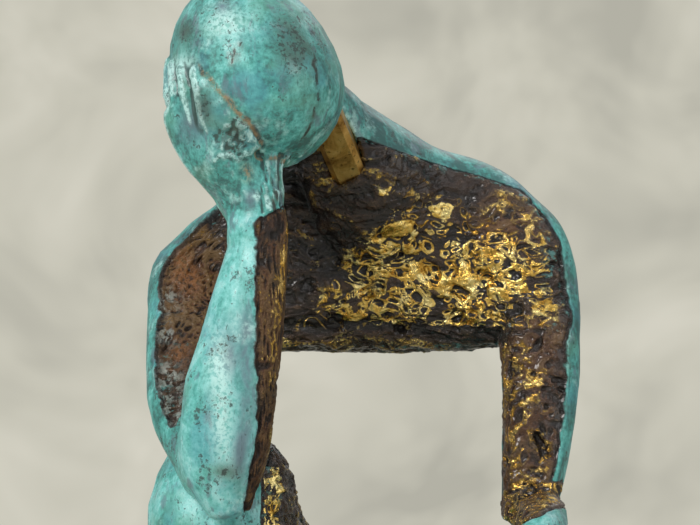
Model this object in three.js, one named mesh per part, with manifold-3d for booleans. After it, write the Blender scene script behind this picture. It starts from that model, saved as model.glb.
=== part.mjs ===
// A seated thinking figure in cast bronze on a stone plinth.
// The figure is cast in sections that are pegged together with brass dowels and brazed, and studs hold
// it to the plinth. Units are millimetres, +Z is up and the figure faces -Y. The origin is under the
// middle of the plinth, on the surface that its rubber feet stand on. Left and right are the figure's own.

import * as THREE from "three";
import { mergeVertices, toCreasedNormals } from "three/addons/utils/BufferGeometryUtils.js";
import Module from "manifold-3d";

const wasm = await Module();
wasm.setup();

const at = (x, y, z) => new THREE.Vector3(x, y, z);
const FORWARD = at(0, -1, 0);
const BACKWARD = at(0, 1, 0);
const UP = at(0, 0, 1);
const DOWN = at(0, 0, -1);

// Fits
const SEAM = 0.3; // gap that the brazing metal fills between two castings
const PEG_PLAY = 0.25; // gap round a dowel in its hole
const THREAD_PLAY = 0.2; // gap between a stud and the nut or washer on it

// Plinth, its rubber feet and the studs through it
const PLINTH_WIDTH = 150;
const PLINTH_DEPTH = 176;
const PLINTH_HEIGHT = 25;
const PLINTH_CORNER = 3;
const PLINTH_BEVEL = 1.5;
const PAD_DIAMETER = 14;
const PAD_HEIGHT = 3;
const PAD_INSET = 12;
const STUD_DIAMETER = 5;
const STUD_HOLE = 6;
const STUD_TAIL = 2; // thread left showing below the nut
const FOOT_STUD_DEPTH = 6;
const SEAT_STUD_DEPTH = 18;
const WASHER_DIAMETER = 13;
const WASHER_THICKNESS = 1.2;
const NUT_ACROSS = 8;
const NUT_HEIGHT = 4;
const COUNTERBORE_DIAMETER = 17;
const COUNTERBORE_DEPTH = 11;

// Seat block, and how far behind the plinth's middle the figure's own zero lies
const FIGURE_BACK = 8;
const SEAT_WIDTH = 88;
const SEAT_DEPTH = 56;
const SEAT_HEIGHT = 47;
const SEAT_TAPER = 7;
const SEAT_CENTRE = 51;
const SEAT_CORNER = 9;

// Sizes of the castings
const HEAD_WIDTH = 50.5;
const HEAD_DEPTH = 58;
const HEAD_HEIGHT = 60.5;
const HEAD_FULLNESS = 0.06; // how much wider the lower half of the egg is than the upper half
const HEAD_BLUNT = 0.9; // height of the egg's lower half, as a share of its upper half
const HEAD_LEAN = 14; // degrees, towards the right hand
const NECK_PEG_ACROSS = 10;
const NECK_PEG_CHAMFER = 1.6;
const NECK_PEG_LENGTH = 50;
const CHEST_DEPTH = 31;
const SHOULDER_WIDTH = 25;
const UPPER_ARM_WIDTH = 23;
const ELBOW_WIDTH = 27;
const WRIST_WIDTH = 16.8;
const REST_FOREARM_WIDTH = 16.5;
const FINGER_WIDTH = 6;
const FINGER_COUNT = 4;
const HIP_WIDTH = 42;
const KNEE_WIDTH = 45;
const CALF_WIDTH = 37;
const ANKLE_WIDTH = 19;
const FOOT_WIDTH = 25;
const TOE_COUNT = 5;
const LEG_DOWEL = 8; // diameters of the dowels that tie the castings together
const ARM_DOWEL = 5;
const WRIST_DOWEL = 4;
const CAST_WAVE = 0.9; // height of the waves on the open cast faces
const BUBBLE_DEPTH = 0.3; // depth of a burst bubble, as a share of its width

// Joints of the figure, from its own zero on the plinth's top
const SHOULDER_HEIGHT = 176;
const SHOULDER_SPREAD = 52; // from the figure's middle to each shoulder joint
const HEAD_RISE = 54.5; // from the left shoulder joint up to the head's middle
const HEAD_ASIDE = 31.8;
const RIGHT_KNEE_HEIGHT = 103;
const LEFT_KNEE_HEIGHT = 78;
const HEAD = at(-HEAD_ASIDE, -45, SHOULDER_HEIGHT + HEAD_RISE);
const RIGHT_SHOULDER = at(-SHOULDER_SPREAD, -3, SHOULDER_HEIGHT - 1.5);
const LEFT_SHOULDER = at(SHOULDER_SPREAD, -1, SHOULDER_HEIGHT);
const HIP_HEIGHT = SEAT_HEIGHT + 19;
const RIGHT_HIP = at(-24, SEAT_CENTRE - 5, HIP_HEIGHT);
const LEFT_HIP = at(24, SEAT_CENTRE - 5, HIP_HEIGHT);
const RIGHT_KNEE = at(-43, -34, RIGHT_KNEE_HEIGHT);
const LEFT_KNEE = at(50, -32, LEFT_KNEE_HEIGHT);
const RIGHT_ANKLE = at(-45.5, -38, 30);
const LEFT_ANKLE = at(53, -48, 15);
const RIGHT_ELBOW = RIGHT_KNEE.clone().add(at(2, -27, 18));
const LEFT_ELBOW = LEFT_KNEE.clone().add(at(3, 22, 20.5));
const RIGHT_WRIST = HEAD.clone().add(at(0.3, -14.5, -40.5));
const LEFT_WRIST = LEFT_KNEE.clone().add(at(1, -18, 19));

// A point on the way from one point to another, moved aside by x, y and z.
function between(start, end, share, x = 0, y = 0, z = 0) {
  return start.clone().lerp(end, share).add(at(x, y, z));
}

// A rectangle round the origin with rounded corners.
function roundedRectangle(width, depth, corner) {
  const x = width / 2 - corner;
  const y = depth / 2 - corner;
  const turn = Math.PI / 2;
  const outline = new THREE.Shape();
  outline.absarc(x, y, corner, 0, turn);
  outline.absarc(-x, y, corner, turn, 2 * turn);
  outline.absarc(-x, -y, corner, 2 * turn, 3 * turn);
  outline.absarc(x, -y, corner, 3 * turn, 4 * turn);
  outline.closePath();
  return outline;
}

// A closed solid from a row of rings with the same number of points, with a tip beyond each end.
function skin(rings, startTip, endTip) {
  const sides = rings[0].length;
  const points = [...rings.flat(), startTip, endTip];
  const last = (rings.length - 1) * sides;
  const faces = [];
  for (let side = 0; side < sides; side++) {
    const next = (side + 1) % sides;
    for (let row = 0; row < last; row += sides) {
      faces.push(row + side, row + next, row + sides + next);
      faces.push(row + side, row + sides + next, row + sides + side);
    }
    faces.push(points.length - 2, next, side);
    faces.push(points.length - 1, last + side, last + next);
  }
  const geometry = new THREE.BufferGeometry().setFromPoints(points);
  geometry.setIndex(faces);
  return geometry;
}

// Waves of an open cast face, about 20 mm long: how far they stand out at a point.
function castWave(point) {
  const across = Math.sin(point.x * 0.31 + 1.7 * Math.sin(point.z * 0.16));
  const upward = Math.sin(point.z * 0.37 + 1.3 * Math.sin(point.x * 0.12 + point.y * 0.2));
  return CAST_WAVE * across * upward;
}

// A limb through stations of [centre, width, depth]. The depth lies along `front`, where the section can be
// cut `flat`; `square` above 2 makes it boxier. Domes round its ends, and `grow` makes it fatter all over.
// The side that faces along `open` has cast waves.
function limb(shape, grow = 0) {
  const { stations, front, axis = null, flat = 1, square = 2, steps = 2, sides = 16, open = null } = shape;
  const { from = 0, to = 1, startDome = 0, endDome = 0, domeRows = 3 } = shape;
  const centres = new THREE.CatmullRomCurve3(stations.map((station) => station[0]));
  const sizes = new THREE.CatmullRomCurve3(stations.map((station) => at(station[1], station[2], 0)));
  const bend = (value) => Math.sign(value) * Math.abs(value) ** (2 / square);

  const place = (share, along, scale) => {
    const direction = axis ?? centres.getTangent(share);
    const depthAxis = front.clone().addScaledVector(direction, -front.dot(direction)).normalize();
    const widthAxis = depthAxis.clone().cross(direction);
    const centre = centres.getPoint(share).addScaledVector(direction, along);
    const size = sizes.getPoint(share);
    const ring = [];
    for (let side = 0; side < sides; side++) {
      const angle = (side / sides) * 2 * Math.PI;
      const wide = bend(Math.cos(angle)) * (size.x / 2 + grow) * scale;
      const deep = Math.min(bend(Math.sin(angle)), flat) * (size.y / 2 + grow) * scale;
      const spot = centre.clone().addScaledVector(widthAxis, wide).addScaledVector(depthAxis, deep);
      if (open && scale > 0) {
        const outward = spot.clone().sub(centre).normalize();
        const share = THREE.MathUtils.smoothstep(outward.dot(open), 0.2, 0.6);
        spot.addScaledVector(outward, castWave(spot) * share * scale);
      }
      ring.push(spot);
    }
    return { ring, centre };
  };

  const rings = [];
  const quarter = Math.PI / 2 / (domeRows + 1);
  const domeSteps = Array.from({ length: domeRows }, (_, row) => Math.cos((row + 1) * quarter));
  const startOut = startDome + grow;
  const endOut = endDome + grow;
  if (startDome > 0) {
    domeSteps.forEach((rise) => rings.push(place(from, -startOut * rise, Math.sqrt(1 - rise * rise)).ring));
  }
  const count = Math.max(1, Math.round((stations.length - 1) * steps * (to - from)));
  for (let step = 0; step <= count; step++) {
    const flush = (step === 0 && startDome === 0 ? -grow : 0) + (step === count && endDome === 0 ? grow : 0);
    rings.push(place(from + ((to - from) * step) / count, flush, 1).ring);
  }
  if (endDome > 0) {
    domeSteps.toReversed().forEach((rise) => {
      rings.push(place(to, endOut * rise, Math.sqrt(1 - rise * rise)).ring);
    });
  }
  return solid(skin(rings, place(from, -startOut, 0).centre, place(to, endOut, 0).centre));
}

// Solids for joining and cutting, and back to three.js geometry.
function solid(geometry) {
  const bare = geometry.clone();
  bare.deleteAttribute("normal");
  bare.deleteAttribute("uv");
  const welded = mergeVertices(bare, 1e-4);
  return new wasm.Manifold(
    new wasm.Mesh({
      numProp: 3,
      vertProperties: new Float32Array(welded.attributes.position.array),
      triVerts: new Uint32Array(welded.index.array),
    }),
  );
}

function surface(body) {
  const mesh = body.getMesh();
  const geometry = new THREE.BufferGeometry();
  geometry.setAttribute("position", new THREE.BufferAttribute(new Float32Array(mesh.vertProperties), 3));
  geometry.setIndex(new THREE.BufferAttribute(new Uint32Array(mesh.triVerts), 1));
  return toCreasedNormals(geometry, THREE.MathUtils.degToRad(35));
}

const join = (bodies) => bodies.reduce((whole, body) => whole.add(body));
const cut = (body, tools) => tools.reduce((rest, tool) => rest.subtract(tool), body);

// A round bar centred on a point and pointing along a direction.
function bar(centre, direction, diameter, length, sides = 8) {
  const turn = new THREE.Quaternion().setFromUnitVectors(at(0, 1, 0), direction.clone().normalize());
  const geometry = new THREE.CylinderGeometry(diameter / 2, diameter / 2, length, sides);
  return geometry.applyQuaternion(turn).translate(centre.x, centre.y, centre.z);
}

// Head: an egg turned about its long axis, then squeezed to its width and depth and leaned over.
function head(grow = 0) {
  const profile = [];
  const rows = 15;
  for (let row = 0; row <= rows; row++) {
    const angle = (row / rows) * Math.PI;
    const radius = Math.sin(angle) * (1 + HEAD_FULLNESS * Math.cos(angle));
    const height = -Math.cos(angle) * (angle < Math.PI / 2 ? HEAD_BLUNT : 1);
    profile.push(new THREE.Vector2(row % rows === 0 ? 0 : radius, height));
  }
  const egg = new THREE.LatheGeometry(profile, 26);
  egg.rotateX(Math.PI / 2);
  egg.scale(HEAD_WIDTH / 2 + grow, HEAD_DEPTH / 2 + grow, HEAD_HEIGHT / 2 + grow);
  egg.rotateY(THREE.MathUtils.degToRad(-HEAD_LEAN));
  egg.translate(HEAD.x, HEAD.y, HEAD.z);
  return solid(egg);
}

// A point on the head: turn runs from its right side round to the front, rise from its middle to the crown.
function onHead(turn, rise, lift) {
  const across = THREE.MathUtils.degToRad(turn);
  const upward = THREE.MathUtils.degToRad(rise);
  const x = -Math.cos(across) * Math.cos(upward) * (HEAD_WIDTH / 2 + lift);
  const y = -Math.sin(across) * Math.cos(upward) * (HEAD_DEPTH / 2 + lift);
  const z = Math.sin(upward) * (HEAD_HEIGHT / 2 + lift);
  return at(x, y, z).add(HEAD);
}

// Neck peg: a square bar with chamfered corners, from inside the chest up into the head.
const NECK_FOOT = HEAD.clone().add(at(32, 37.8, -37.3));
const NECK_DIRECTION = at(-0.3, -0.67, 0.67).normalize();

function neckPeg(grow = 0) {
  const half = NECK_PEG_ACROSS / 2 + grow;
  const corner = half - NECK_PEG_CHAMFER;
  const outline = new THREE.Shape();
  for (let quarter = 0; quarter < 4; quarter++) {
    const turn = (quarter * Math.PI) / 2;
    const first = new THREE.Vector2(half, -corner).rotateAround(new THREE.Vector2(), turn);
    const second = new THREE.Vector2(half, corner).rotateAround(new THREE.Vector2(), turn);
    if (quarter === 0) outline.moveTo(first.x, first.y);
    else outline.lineTo(first.x, first.y);
    outline.lineTo(second.x, second.y);
  }
  const length = NECK_PEG_LENGTH + 2 * grow;
  const geometry = new THREE.ExtrudeGeometry(outline, { depth: length, bevelEnabled: false });
  geometry.translate(0, 0, -grow);
  geometry.applyQuaternion(new THREE.Quaternion().setFromUnitVectors(UP, NECK_DIRECTION));
  geometry.translate(NECK_FOOT.x, NECK_FOOT.y, NECK_FOOT.z);
  return geometry;
}

// Arms. Each is one limb from shoulder to elbow; its top belongs to the chest and the rest is a casting.
const rightArm = {
  stations: [
    [RIGHT_SHOULDER, SHOULDER_WIDTH, 24],
    [between(RIGHT_SHOULDER, RIGHT_ELBOW, 0.34, -5.2, 2), UPPER_ARM_WIDTH + 0.5, 22],
    [between(RIGHT_SHOULDER, RIGHT_ELBOW, 0.72, -7.6, 4, -5), UPPER_ARM_WIDTH, 22],
    [between(RIGHT_SHOULDER, RIGHT_ELBOW, 1, -2.5, 4.5, -8.5), UPPER_ARM_WIDTH - 4.5, 20],
  ],
  front: FORWARD,
  flat: 0.8,
  steps: 3,
  startDome: SHOULDER_WIDTH / 2,
};
const leftArm = {
  stations: [
    [LEFT_SHOULDER, SHOULDER_WIDTH + 1, 24],
    [between(LEFT_SHOULDER, LEFT_ELBOW, 0.22, 1.3), UPPER_ARM_WIDTH + 1.5, 22.5],
    [between(LEFT_SHOULDER, LEFT_ELBOW, 0.48, 1, -1.5), UPPER_ARM_WIDTH, 21],
    [between(LEFT_SHOULDER, LEFT_ELBOW, 0.84, -1.8, -2.5), UPPER_ARM_WIDTH - 4, 19],
    [between(LEFT_SHOULDER, LEFT_ELBOW, 1, -2.8, -2.5), UPPER_ARM_WIDTH - 5.5, 18],
  ],
  front: FORWARD,
  flat: 0.8,
  startDome: SHOULDER_WIDTH / 2,
  open: FORWARD,
};
const RIGHT_SLEEVE = 0.24; // share of the arm's stations that the chest casting includes
const LEFT_SLEEVE = 0.31;

const armLength = (arm) => new THREE.CatmullRomCurve3(arm.stations.map((station) => station[0])).getLength();
const sleeve = (arm, share) => limb({ ...arm, to: share });
const armBelow = (arm, share) => limb({ ...arm, from: share + SEAM / armLength(arm), startDome: 0 });

const rightForearm = {
  stations: [
    [RIGHT_ELBOW.clone().add(at(1.5, 0, -15)), ELBOW_WIDTH - 14, 12],
    [RIGHT_ELBOW.clone().add(at(-0.5, 0, -6)), ELBOW_WIDTH - 3.5, 20],
    [RIGHT_ELBOW.clone().add(at(-0.5, -0.5, 4)), ELBOW_WIDTH, 22],
    [between(RIGHT_ELBOW, RIGHT_WRIST, 0.25, -0.9, -1), ELBOW_WIDTH - 0.5, 21],
    [between(RIGHT_ELBOW, RIGHT_WRIST, 0.45, 0.4, -1), ELBOW_WIDTH - 3.5, 19],
    [between(RIGHT_ELBOW, RIGHT_WRIST, 0.65, 1, -1), WRIST_WIDTH + 3.7, 17],
    [between(RIGHT_ELBOW, RIGHT_WRIST, 0.86, 1.5), WRIST_WIDTH, 15],
    [RIGHT_WRIST, WRIST_WIDTH + 0.2, 13.5],
  ],
  front: FORWARD,
  steps: 1,
  startDome: 3,
};
const leftForearm = {
  stations: [
    [LEFT_ELBOW, REST_FOREARM_WIDTH - 0.5, 17],
    [between(LEFT_ELBOW, LEFT_WRIST, 0.45, 1, 0, 1.5), REST_FOREARM_WIDTH, 17],
    [between(LEFT_ELBOW, LEFT_WRIST, 0.85, 0.5, 0, 1), REST_FOREARM_WIDTH - 3.5, 13],
    [LEFT_WRIST, REST_FOREARM_WIDTH - 4.5, 12],
  ],
  front: UP,
  startDome: 8,
};

// Chest: a deep plate across the shoulders, its sleeves and the nape that rises behind the neck peg.
function plateStation(x, y, bottom, top, depth) {
  return [at(x, y, (bottom + top) / 2), depth, top - bottom];
}

const CHEST_BOTTOM = RIGHT_SHOULDER.z - 25;
const plate = {
  stations: [
    plateStation(RIGHT_SHOULDER.x + 1, -4, CHEST_BOTTOM + 10, RIGHT_SHOULDER.z + 13, CHEST_DEPTH - 9),
    plateStation(RIGHT_SHOULDER.x + 17, 1, CHEST_BOTTOM + 1, RIGHT_SHOULDER.z + 29.5, CHEST_DEPTH - 4),
    plateStation(-10, 6, CHEST_BOTTOM, RIGHT_SHOULDER.z + 39, CHEST_DEPTH - 1),
    plateStation(10, 7, CHEST_BOTTOM, LEFT_SHOULDER.z + 35, CHEST_DEPTH),
    plateStation(30, 5, CHEST_BOTTOM + 0.5, LEFT_SHOULDER.z + 32.5, CHEST_DEPTH - 2),
    plateStation(LEFT_SHOULDER.x - 6, 1, CHEST_BOTTOM + 3, LEFT_SHOULDER.z + 26, CHEST_DEPTH - 6),
    plateStation(LEFT_SHOULDER.x + 4, -1, CHEST_BOTTOM + 10, LEFT_SHOULDER.z + 16, CHEST_DEPTH - 10),
  ],
  front: UP,
  axis: at(1, 0, 0),
  square: 2.6,
  sides: 22,
  steps: 3,
  startDome: 6,
  endDome: 7,
  domeRows: 2,
  open: FORWARD,
};
const nape = {
  stations: [
    [HEAD.clone().add(at(41.5, 52, -44)), 56, 36],
    [HEAD.clone().add(at(30.5, 40.5, -26.5)), 40, 42],
    [HEAD.clone().add(at(20.5, 31, -14.5)), 26, 28],
    [HEAD.clone().add(at(11.5, 19, -2.5)), 22, 24],
  ],
  front: FORWARD,
};

// Burst bubbles in the open face of the chest: how far aside of the middle, how far above the plate's
// bottom edge, and how wide. Each one is a bowl sunk where a ray from the front meets the chest, so a
// chest too narrow for one of them goes without it.
const bubbles = [
  [-17, 20, 7],
  [-9, 9, 8],
  [1, 18, 6.5],
  [6, 34, 7.5],
  [11, 7, 6],
  [16, 43, 6],
  [20, 24, 8.5],
  [28, 11, 7],
  [30, 35, 7],
  [36, 22, 7.5],
  [42, 38, 6],
  [46, 13, 6.5],
];

function burst(body, [aside, above, width]) {
  const start = at(aside, -PLINTH_DEPTH, CHEST_BOTTOM + above);
  const target = new THREE.Mesh(surface(body));
  const [hit] = new THREE.Raycaster(start, BACKWARD).intersectObject(target);
  if (!hit) return body;
  const depth = BUBBLE_DEPTH * width;
  const radius = (width * width / 4 + depth * depth) / (2 * depth);
  const centre = hit.point.clone().addScaledVector(hit.face.normal, radius - depth);
  const turn = new THREE.Quaternion().setFromUnitVectors(UP, hit.face.normal);
  const bowl = new THREE.SphereGeometry(radius, 7, 5).rotateX(Math.PI / 2).applyQuaternion(turn);
  return body.subtract(solid(bowl.translate(centre.x, centre.y, centre.z)));
}

function chest() {
  const body = join([limb(plate), limb(nape), sleeve(rightArm, RIGHT_SLEEVE), sleeve(leftArm, LEFT_SLEEVE)]);
  return bubbles.reduce(burst, body);
}

// Hands. The right one is laid over the right side of the head, the left one hangs over its knee.
function finger(points, root, tip) {
  const stations = points.map((point, row) => {
    const size = root - (root - tip) * (row / (points.length - 1));
    return [point, size, size];
  });
  const ends = { startDome: tip / 2, endDome: tip / 2, domeRows: 1 };
  return limb({ stations, front: FORWARD, sides: 6, steps: 1, ...ends });
}

function rightHand() {
  const palm = {
    stations: [
      [RIGHT_WRIST.clone().add(at(0.5, 0, -4)), WRIST_WIDTH - 1, 11],
      [RIGHT_WRIST.clone().add(at(-5.5, 0.5, 9)), WRIST_WIDTH + 2, 10],
      [onHead(50, -46, 2.3), WRIST_WIDTH + 2.5, 8.5],
      [onHead(40, -31, 1), WRIST_WIDTH + 2.5, 5.5],
      [onHead(34, -18, 0.4), WRIST_WIDTH + 1.5, 4],
    ],
    front: at(-0.55, -0.8, -0.25).normalize(),
    sides: 12,
    endDome: 4,
    domeRows: 2,
  };
  const blade = {
    stations: [
      [onHead(76, -48, 0.6), WRIST_WIDTH - 1, 5],
      [onHead(70, -34, 0.2), WRIST_WIDTH - 3, 4],
      [onHead(60, -17, 0), WRIST_WIDTH - 6, 3.2],
      [onHead(54, -5, -0.2), WRIST_WIDTH - 10, 2.6],
    ],
    front: at(-0.45, -0.9, -0.1).normalize(),
    sides: 10,
    endDome: 2,
    domeRows: 1,
  };
  const heel = {
    stations: [
      [RIGHT_WRIST.clone().add(at(4.2, 0.5, -3)), WRIST_WIDTH - 9.5, 11],
      [RIGHT_WRIST.clone().add(at(3.4, 0.8, 6)), WRIST_WIDTH - 7.5, 11],
      [RIGHT_WRIST.clone().add(at(2.6, 4, 17)), WRIST_WIDTH - 7, 9],
    ],
    front: FORWARD,
    sides: 8,
    steps: 1,
  };
  const parts = [limb(palm), limb(blade), limb(heel)];
  const reach = [8, 6, 3, 1];
  for (let index = 0; index < FINGER_COUNT; index++) {
    const turn = 6 + index * 14;
    const points = [onHead(turn + 17 - 2 * index, -40, 0.7), onHead(turn + 12 - 2 * index, -25, 0.7)];
    points.push(onHead(turn + 5, -9, 0.5), onHead(turn, reach[index], 0));
    parts.push(finger(points, FINGER_WIDTH - 0.6, FINGER_WIDTH - 2));
  }
  return join(parts);
}

function leftHand() {
  const drop = LEFT_KNEE.clone();
  const palm = {
    stations: [
      [LEFT_WRIST.clone().add(at(0, 5, 0.5)), REST_FOREARM_WIDTH - 5, 10.5],
      [LEFT_WRIST.clone().add(at(-0.5, -2, -1)), REST_FOREARM_WIDTH - 2, 10],
      [LEFT_WRIST.clone().add(at(-1, -5.5, -8)), REST_FOREARM_WIDTH + 1, 8.5],
      [LEFT_WRIST.clone().add(at(-1.5, -6, -14)), REST_FOREARM_WIDTH + 0.5, 6],
    ],
    front: at(0, -0.8, 0.6).normalize(),
    sides: 12,
    endDome: 3,
    domeRows: 2,
  };
  const parts = [limb(palm)];
  const reach = [-14, -16, -15, -10];
  for (let index = 0; index < FINGER_COUNT; index++) {
    const x = -8.5 + index * 5;
    const bow = 2.2 - 0.045 * (x + 1) ** 2;
    const points = [
      drop.clone().add(at(x, -20 - bow, 7)),
      drop.clone().add(at(x, -21.5 - bow, -1)),
      drop.clone().add(at(x - 0.5, -20.5 - bow, -9)),
      drop.clone().add(at(x - 1, -18.5 - bow, reach[index] - 1)),
    ];
    parts.push(finger(points, FINGER_WIDTH, FINGER_WIDTH - 1.8));
  }
  const thumb = [at(-6, -16, 17), at(-11, -17.5, 11), at(-14, -17, 3)];
  parts.push(finger(thumb.map((offset) => drop.clone().add(offset)), FINGER_WIDTH, FINGER_WIDTH - 1.4));
  return join(parts);
}

// Seat block: narrower at the top, with rounded corners and cast waves on its sides.
function seatBlock(grow = 0) {
  const sides = 40;
  const rows = 6;
  const rings = [];
  for (let row = 0; row <= rows; row++) {
    const height = row === 0 ? SEAM - grow : (SEAT_HEIGHT * row) / rows + (row === rows ? grow : 0);
    const inset = (SEAT_TAPER / 2) * (row / rows) - grow;
    const outline = roundedRectangle(SEAT_WIDTH - 2 * inset, SEAT_DEPTH - 2 * inset, SEAT_CORNER);
    const ring = outline.getSpacedPoints(sides).slice(0, sides).map((point) => at(point.x, point.y, height));
    rings.push(
      ring.map((spot, side) => {
        const along = ring[(side + 1) % sides].clone().sub(ring[(side + sides - 1) % sides]).normalize();
        const outward = along.cross(UP);
        return spot.clone().addScaledVector(outward, castWave(spot)).add(at(0, SEAT_CENTRE, 0));
      }),
    );
  }
  return solid(skin(rings, at(0, SEAT_CENTRE, SEAM - grow), at(0, SEAT_CENTRE, SEAT_HEIGHT + grow)));
}

// Pelvis and legs. Each piece is cut to seat on the one above or below it.
const pelvis = {
  stations: [
    [RIGHT_HIP.clone().add(at(-14, 4, -2)), HIP_WIDTH - 6, HIP_WIDTH - 8],
    [RIGHT_HIP.clone().add(at(0, 4, 0)), HIP_WIDTH + 2, HIP_WIDTH - 1],
    [between(RIGHT_HIP, LEFT_HIP, 0.5, 0, 2, -1), HIP_WIDTH - 6, HIP_WIDTH - 7],
    [LEFT_HIP.clone().add(at(0, 4, 0)), HIP_WIDTH + 2, HIP_WIDTH - 1],
    [LEFT_HIP.clone().add(at(14, 4, -2)), HIP_WIDTH - 6, HIP_WIDTH - 8],
  ],
  front: UP,
  axis: at(1, 0, 0),
  square: 2.3,
  sides: 14,
  startDome: 8,
  endDome: 8,
  domeRows: 2,
};
const waist = {
  stations: [
    [between(RIGHT_HIP, LEFT_HIP, 0.5, 0, 4, 0), HIP_WIDTH + 30, HIP_WIDTH - 3],
    [between(RIGHT_HIP, LEFT_HIP, 0.5, 0, 2, 10), HIP_WIDTH + 25, HIP_WIDTH - 6],
    [between(RIGHT_HIP, LEFT_HIP, 0.5, 0, -1, 18), HIP_WIDTH + 18, HIP_WIDTH - 11],
  ],
  front: FORWARD,
};
const rightThigh = {
  stations: [
    [RIGHT_HIP, HIP_WIDTH, HIP_WIDTH - 2],
    [between(RIGHT_HIP, RIGHT_KNEE, 0.45, -2, 0, 3), HIP_WIDTH - 5, HIP_WIDTH - 1],
    [RIGHT_KNEE, KNEE_WIDTH, KNEE_WIDTH + 8],
  ],
  front: UP,
  steps: 3,
  endDome: 20,
  open: at(1, 0, 0),
};
const leftThigh = {
  stations: [
    [LEFT_HIP, HIP_WIDTH, HIP_WIDTH - 2],
    [between(LEFT_HIP, LEFT_KNEE, 0.45, 0, 0, 1.5), HIP_WIDTH - 2, HIP_WIDTH - 4],
    [LEFT_KNEE, KNEE_WIDTH - 6, KNEE_WIDTH - 8],
  ],
  front: UP,
  steps: 3,
  endDome: 18,
  open: at(-1, 0, 0),
};

function shin(knee, ankle, calf) {
  return {
    stations: [
      [between(knee, ankle, 0.08), calf + 2, calf + 2],
      [between(knee, ankle, 0.33, 0, 1.5), calf, calf + 1],
      [between(knee, ankle, 0.6, 0, 1), calf - 6, calf - 4],
      [between(knee, ankle, 0.85), ANKLE_WIDTH + 4, ANKLE_WIDTH + 6],
      [ankle, ANKLE_WIDTH, ANKLE_WIDTH + 2],
    ],
    front: FORWARD,
    sides: 14,
  };
}
const rightShin = shin(RIGHT_KNEE, RIGHT_ANKLE, CALF_WIDTH);
const leftShin = shin(LEFT_KNEE, LEFT_ANKLE, CALF_WIDTH - 3);

// A foot from heel to toes. The ankle's height sets how far the heel is lifted off the plinth.
function foot(ankle, splay) {
  const lift = ankle.z - 15;
  const along = (forward, x, height, width, tall) => [
    at(ankle.x + splay * forward + x, ankle.y - forward, height),
    width,
    tall,
  ];
  const shape = {
    stations: [
      along(-9, 0, 8.5 + lift * 0.95, FOOT_WIDTH - 7, 19),
      along(2, 0, 10 + lift * 0.8, FOOT_WIDTH - 5, 22),
      along(15, 0, 7.5 + lift * 0.45, FOOT_WIDTH - 2, 17),
      along(27, 0, 5, FOOT_WIDTH, 13),
      along(34, 0, 3.8, FOOT_WIDTH - 1, 10),
    ],
    front: UP,
    sides: 12,
    steps: 1,
    startDome: 6,
    endDome: 3,
    domeRows: 2,
  };
  const parts = [limb(shape)];
  for (let toe = 0; toe < TOE_COUNT; toe++) {
    const inner = Math.sign(ankle.x) * -1;
    const side = inner * (FOOT_WIDTH / 2 - 3.2 - toe * 4.6);
    const size = 7 - toe * 0.6;
    const base = along(33, side, 3, size, size)[0];
    const tip = along(39.5 - toe * 1.1, side, 2.6, size, size)[0];
    const stations = [base, tip].map((point) => [point, size, size]);
    parts.push(limb({ stations, front: UP, sides: 6, steps: 1, endDome: size / 2, domeRows: 1 }));
  }
  return join(parts);
}

// Dowels: where each sits, which way it points, its size, and the two castings that it ties together.
const alongLimb = (shape, share) => {
  const curve = new THREE.CatmullRomCurve3(shape.stations.map((station) => station[0]));
  return { centre: curve.getPoint(share), direction: curve.getTangent(share) };
};
const straight = (centre, direction) => ({ centre, direction });
const rightElbowSeat = straight(RIGHT_ELBOW.clone().add(at(-6, 11.3, -0.5)), at(-0.4, 0.7, 0.5));
const leftElbowSeat = straight(LEFT_ELBOW.clone().add(at(-1.3, -1.8, 5.6)), at(0, 0.12, 1));
const dowels = [
  ["right_shoulder", alongLimb(rightArm, RIGHT_SLEEVE), ARM_DOWEL, 14, "chest_shell", "right_upper_arm"],
  ["left_shoulder", alongLimb(leftArm, LEFT_SLEEVE), ARM_DOWEL, 14, "chest_shell", "left_upper_arm"],
  ["right_elbow", rightElbowSeat, ARM_DOWEL, 12, "right_upper_arm", "right_forearm"],
  ["left_elbow", leftElbowSeat, ARM_DOWEL, 12, "left_upper_arm", "left_forearm"],
  ["right_wrist", straight(RIGHT_WRIST, at(-0.4, 0, 0.9)), WRIST_DOWEL, 10, "right_forearm", "right_hand"],
  ["left_wrist", straight(LEFT_WRIST, at(0, -1, -0.1)), WRIST_DOWEL, 8, "left_forearm", "left_hand"],
  ["right_hip", alongLimb(rightThigh, 0.2), LEG_DOWEL, 18, "pelvis", "right_thigh"],
  ["left_hip", alongLimb(leftThigh, 0.2), LEG_DOWEL, 18, "pelvis", "left_thigh"],
  ["right_knee", alongLimb(rightShin, 0.26), LEG_DOWEL, 18, "right_thigh", "right_shin"],
  ["left_knee", alongLimb(leftShin, 0.26), LEG_DOWEL, 18, "left_thigh", "left_shin"],
  ["right_ankle", straight(RIGHT_ANKLE, DOWN), ARM_DOWEL, 11, "right_shin", "right_foot"],
  ["left_ankle", straight(LEFT_ANKLE, DOWN), ARM_DOWEL, 11, "left_shin", "left_foot"],
];

// Studs: where each stands on the plinth's top, in the figure's frame, and how far it goes up.
const studs = [
  ["right_foot", at(RIGHT_ANKLE.x - 1.6, RIGHT_ANKLE.y - 26, 0), FOOT_STUD_DEPTH],
  ["left_foot", at(LEFT_ANKLE.x + 1.2, LEFT_ANKLE.y - 18, 0), FOOT_STUD_DEPTH],
  ["seat_block", at(0, SEAT_CENTRE, 0), SEAT_STUD_DEPTH],
];

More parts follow.
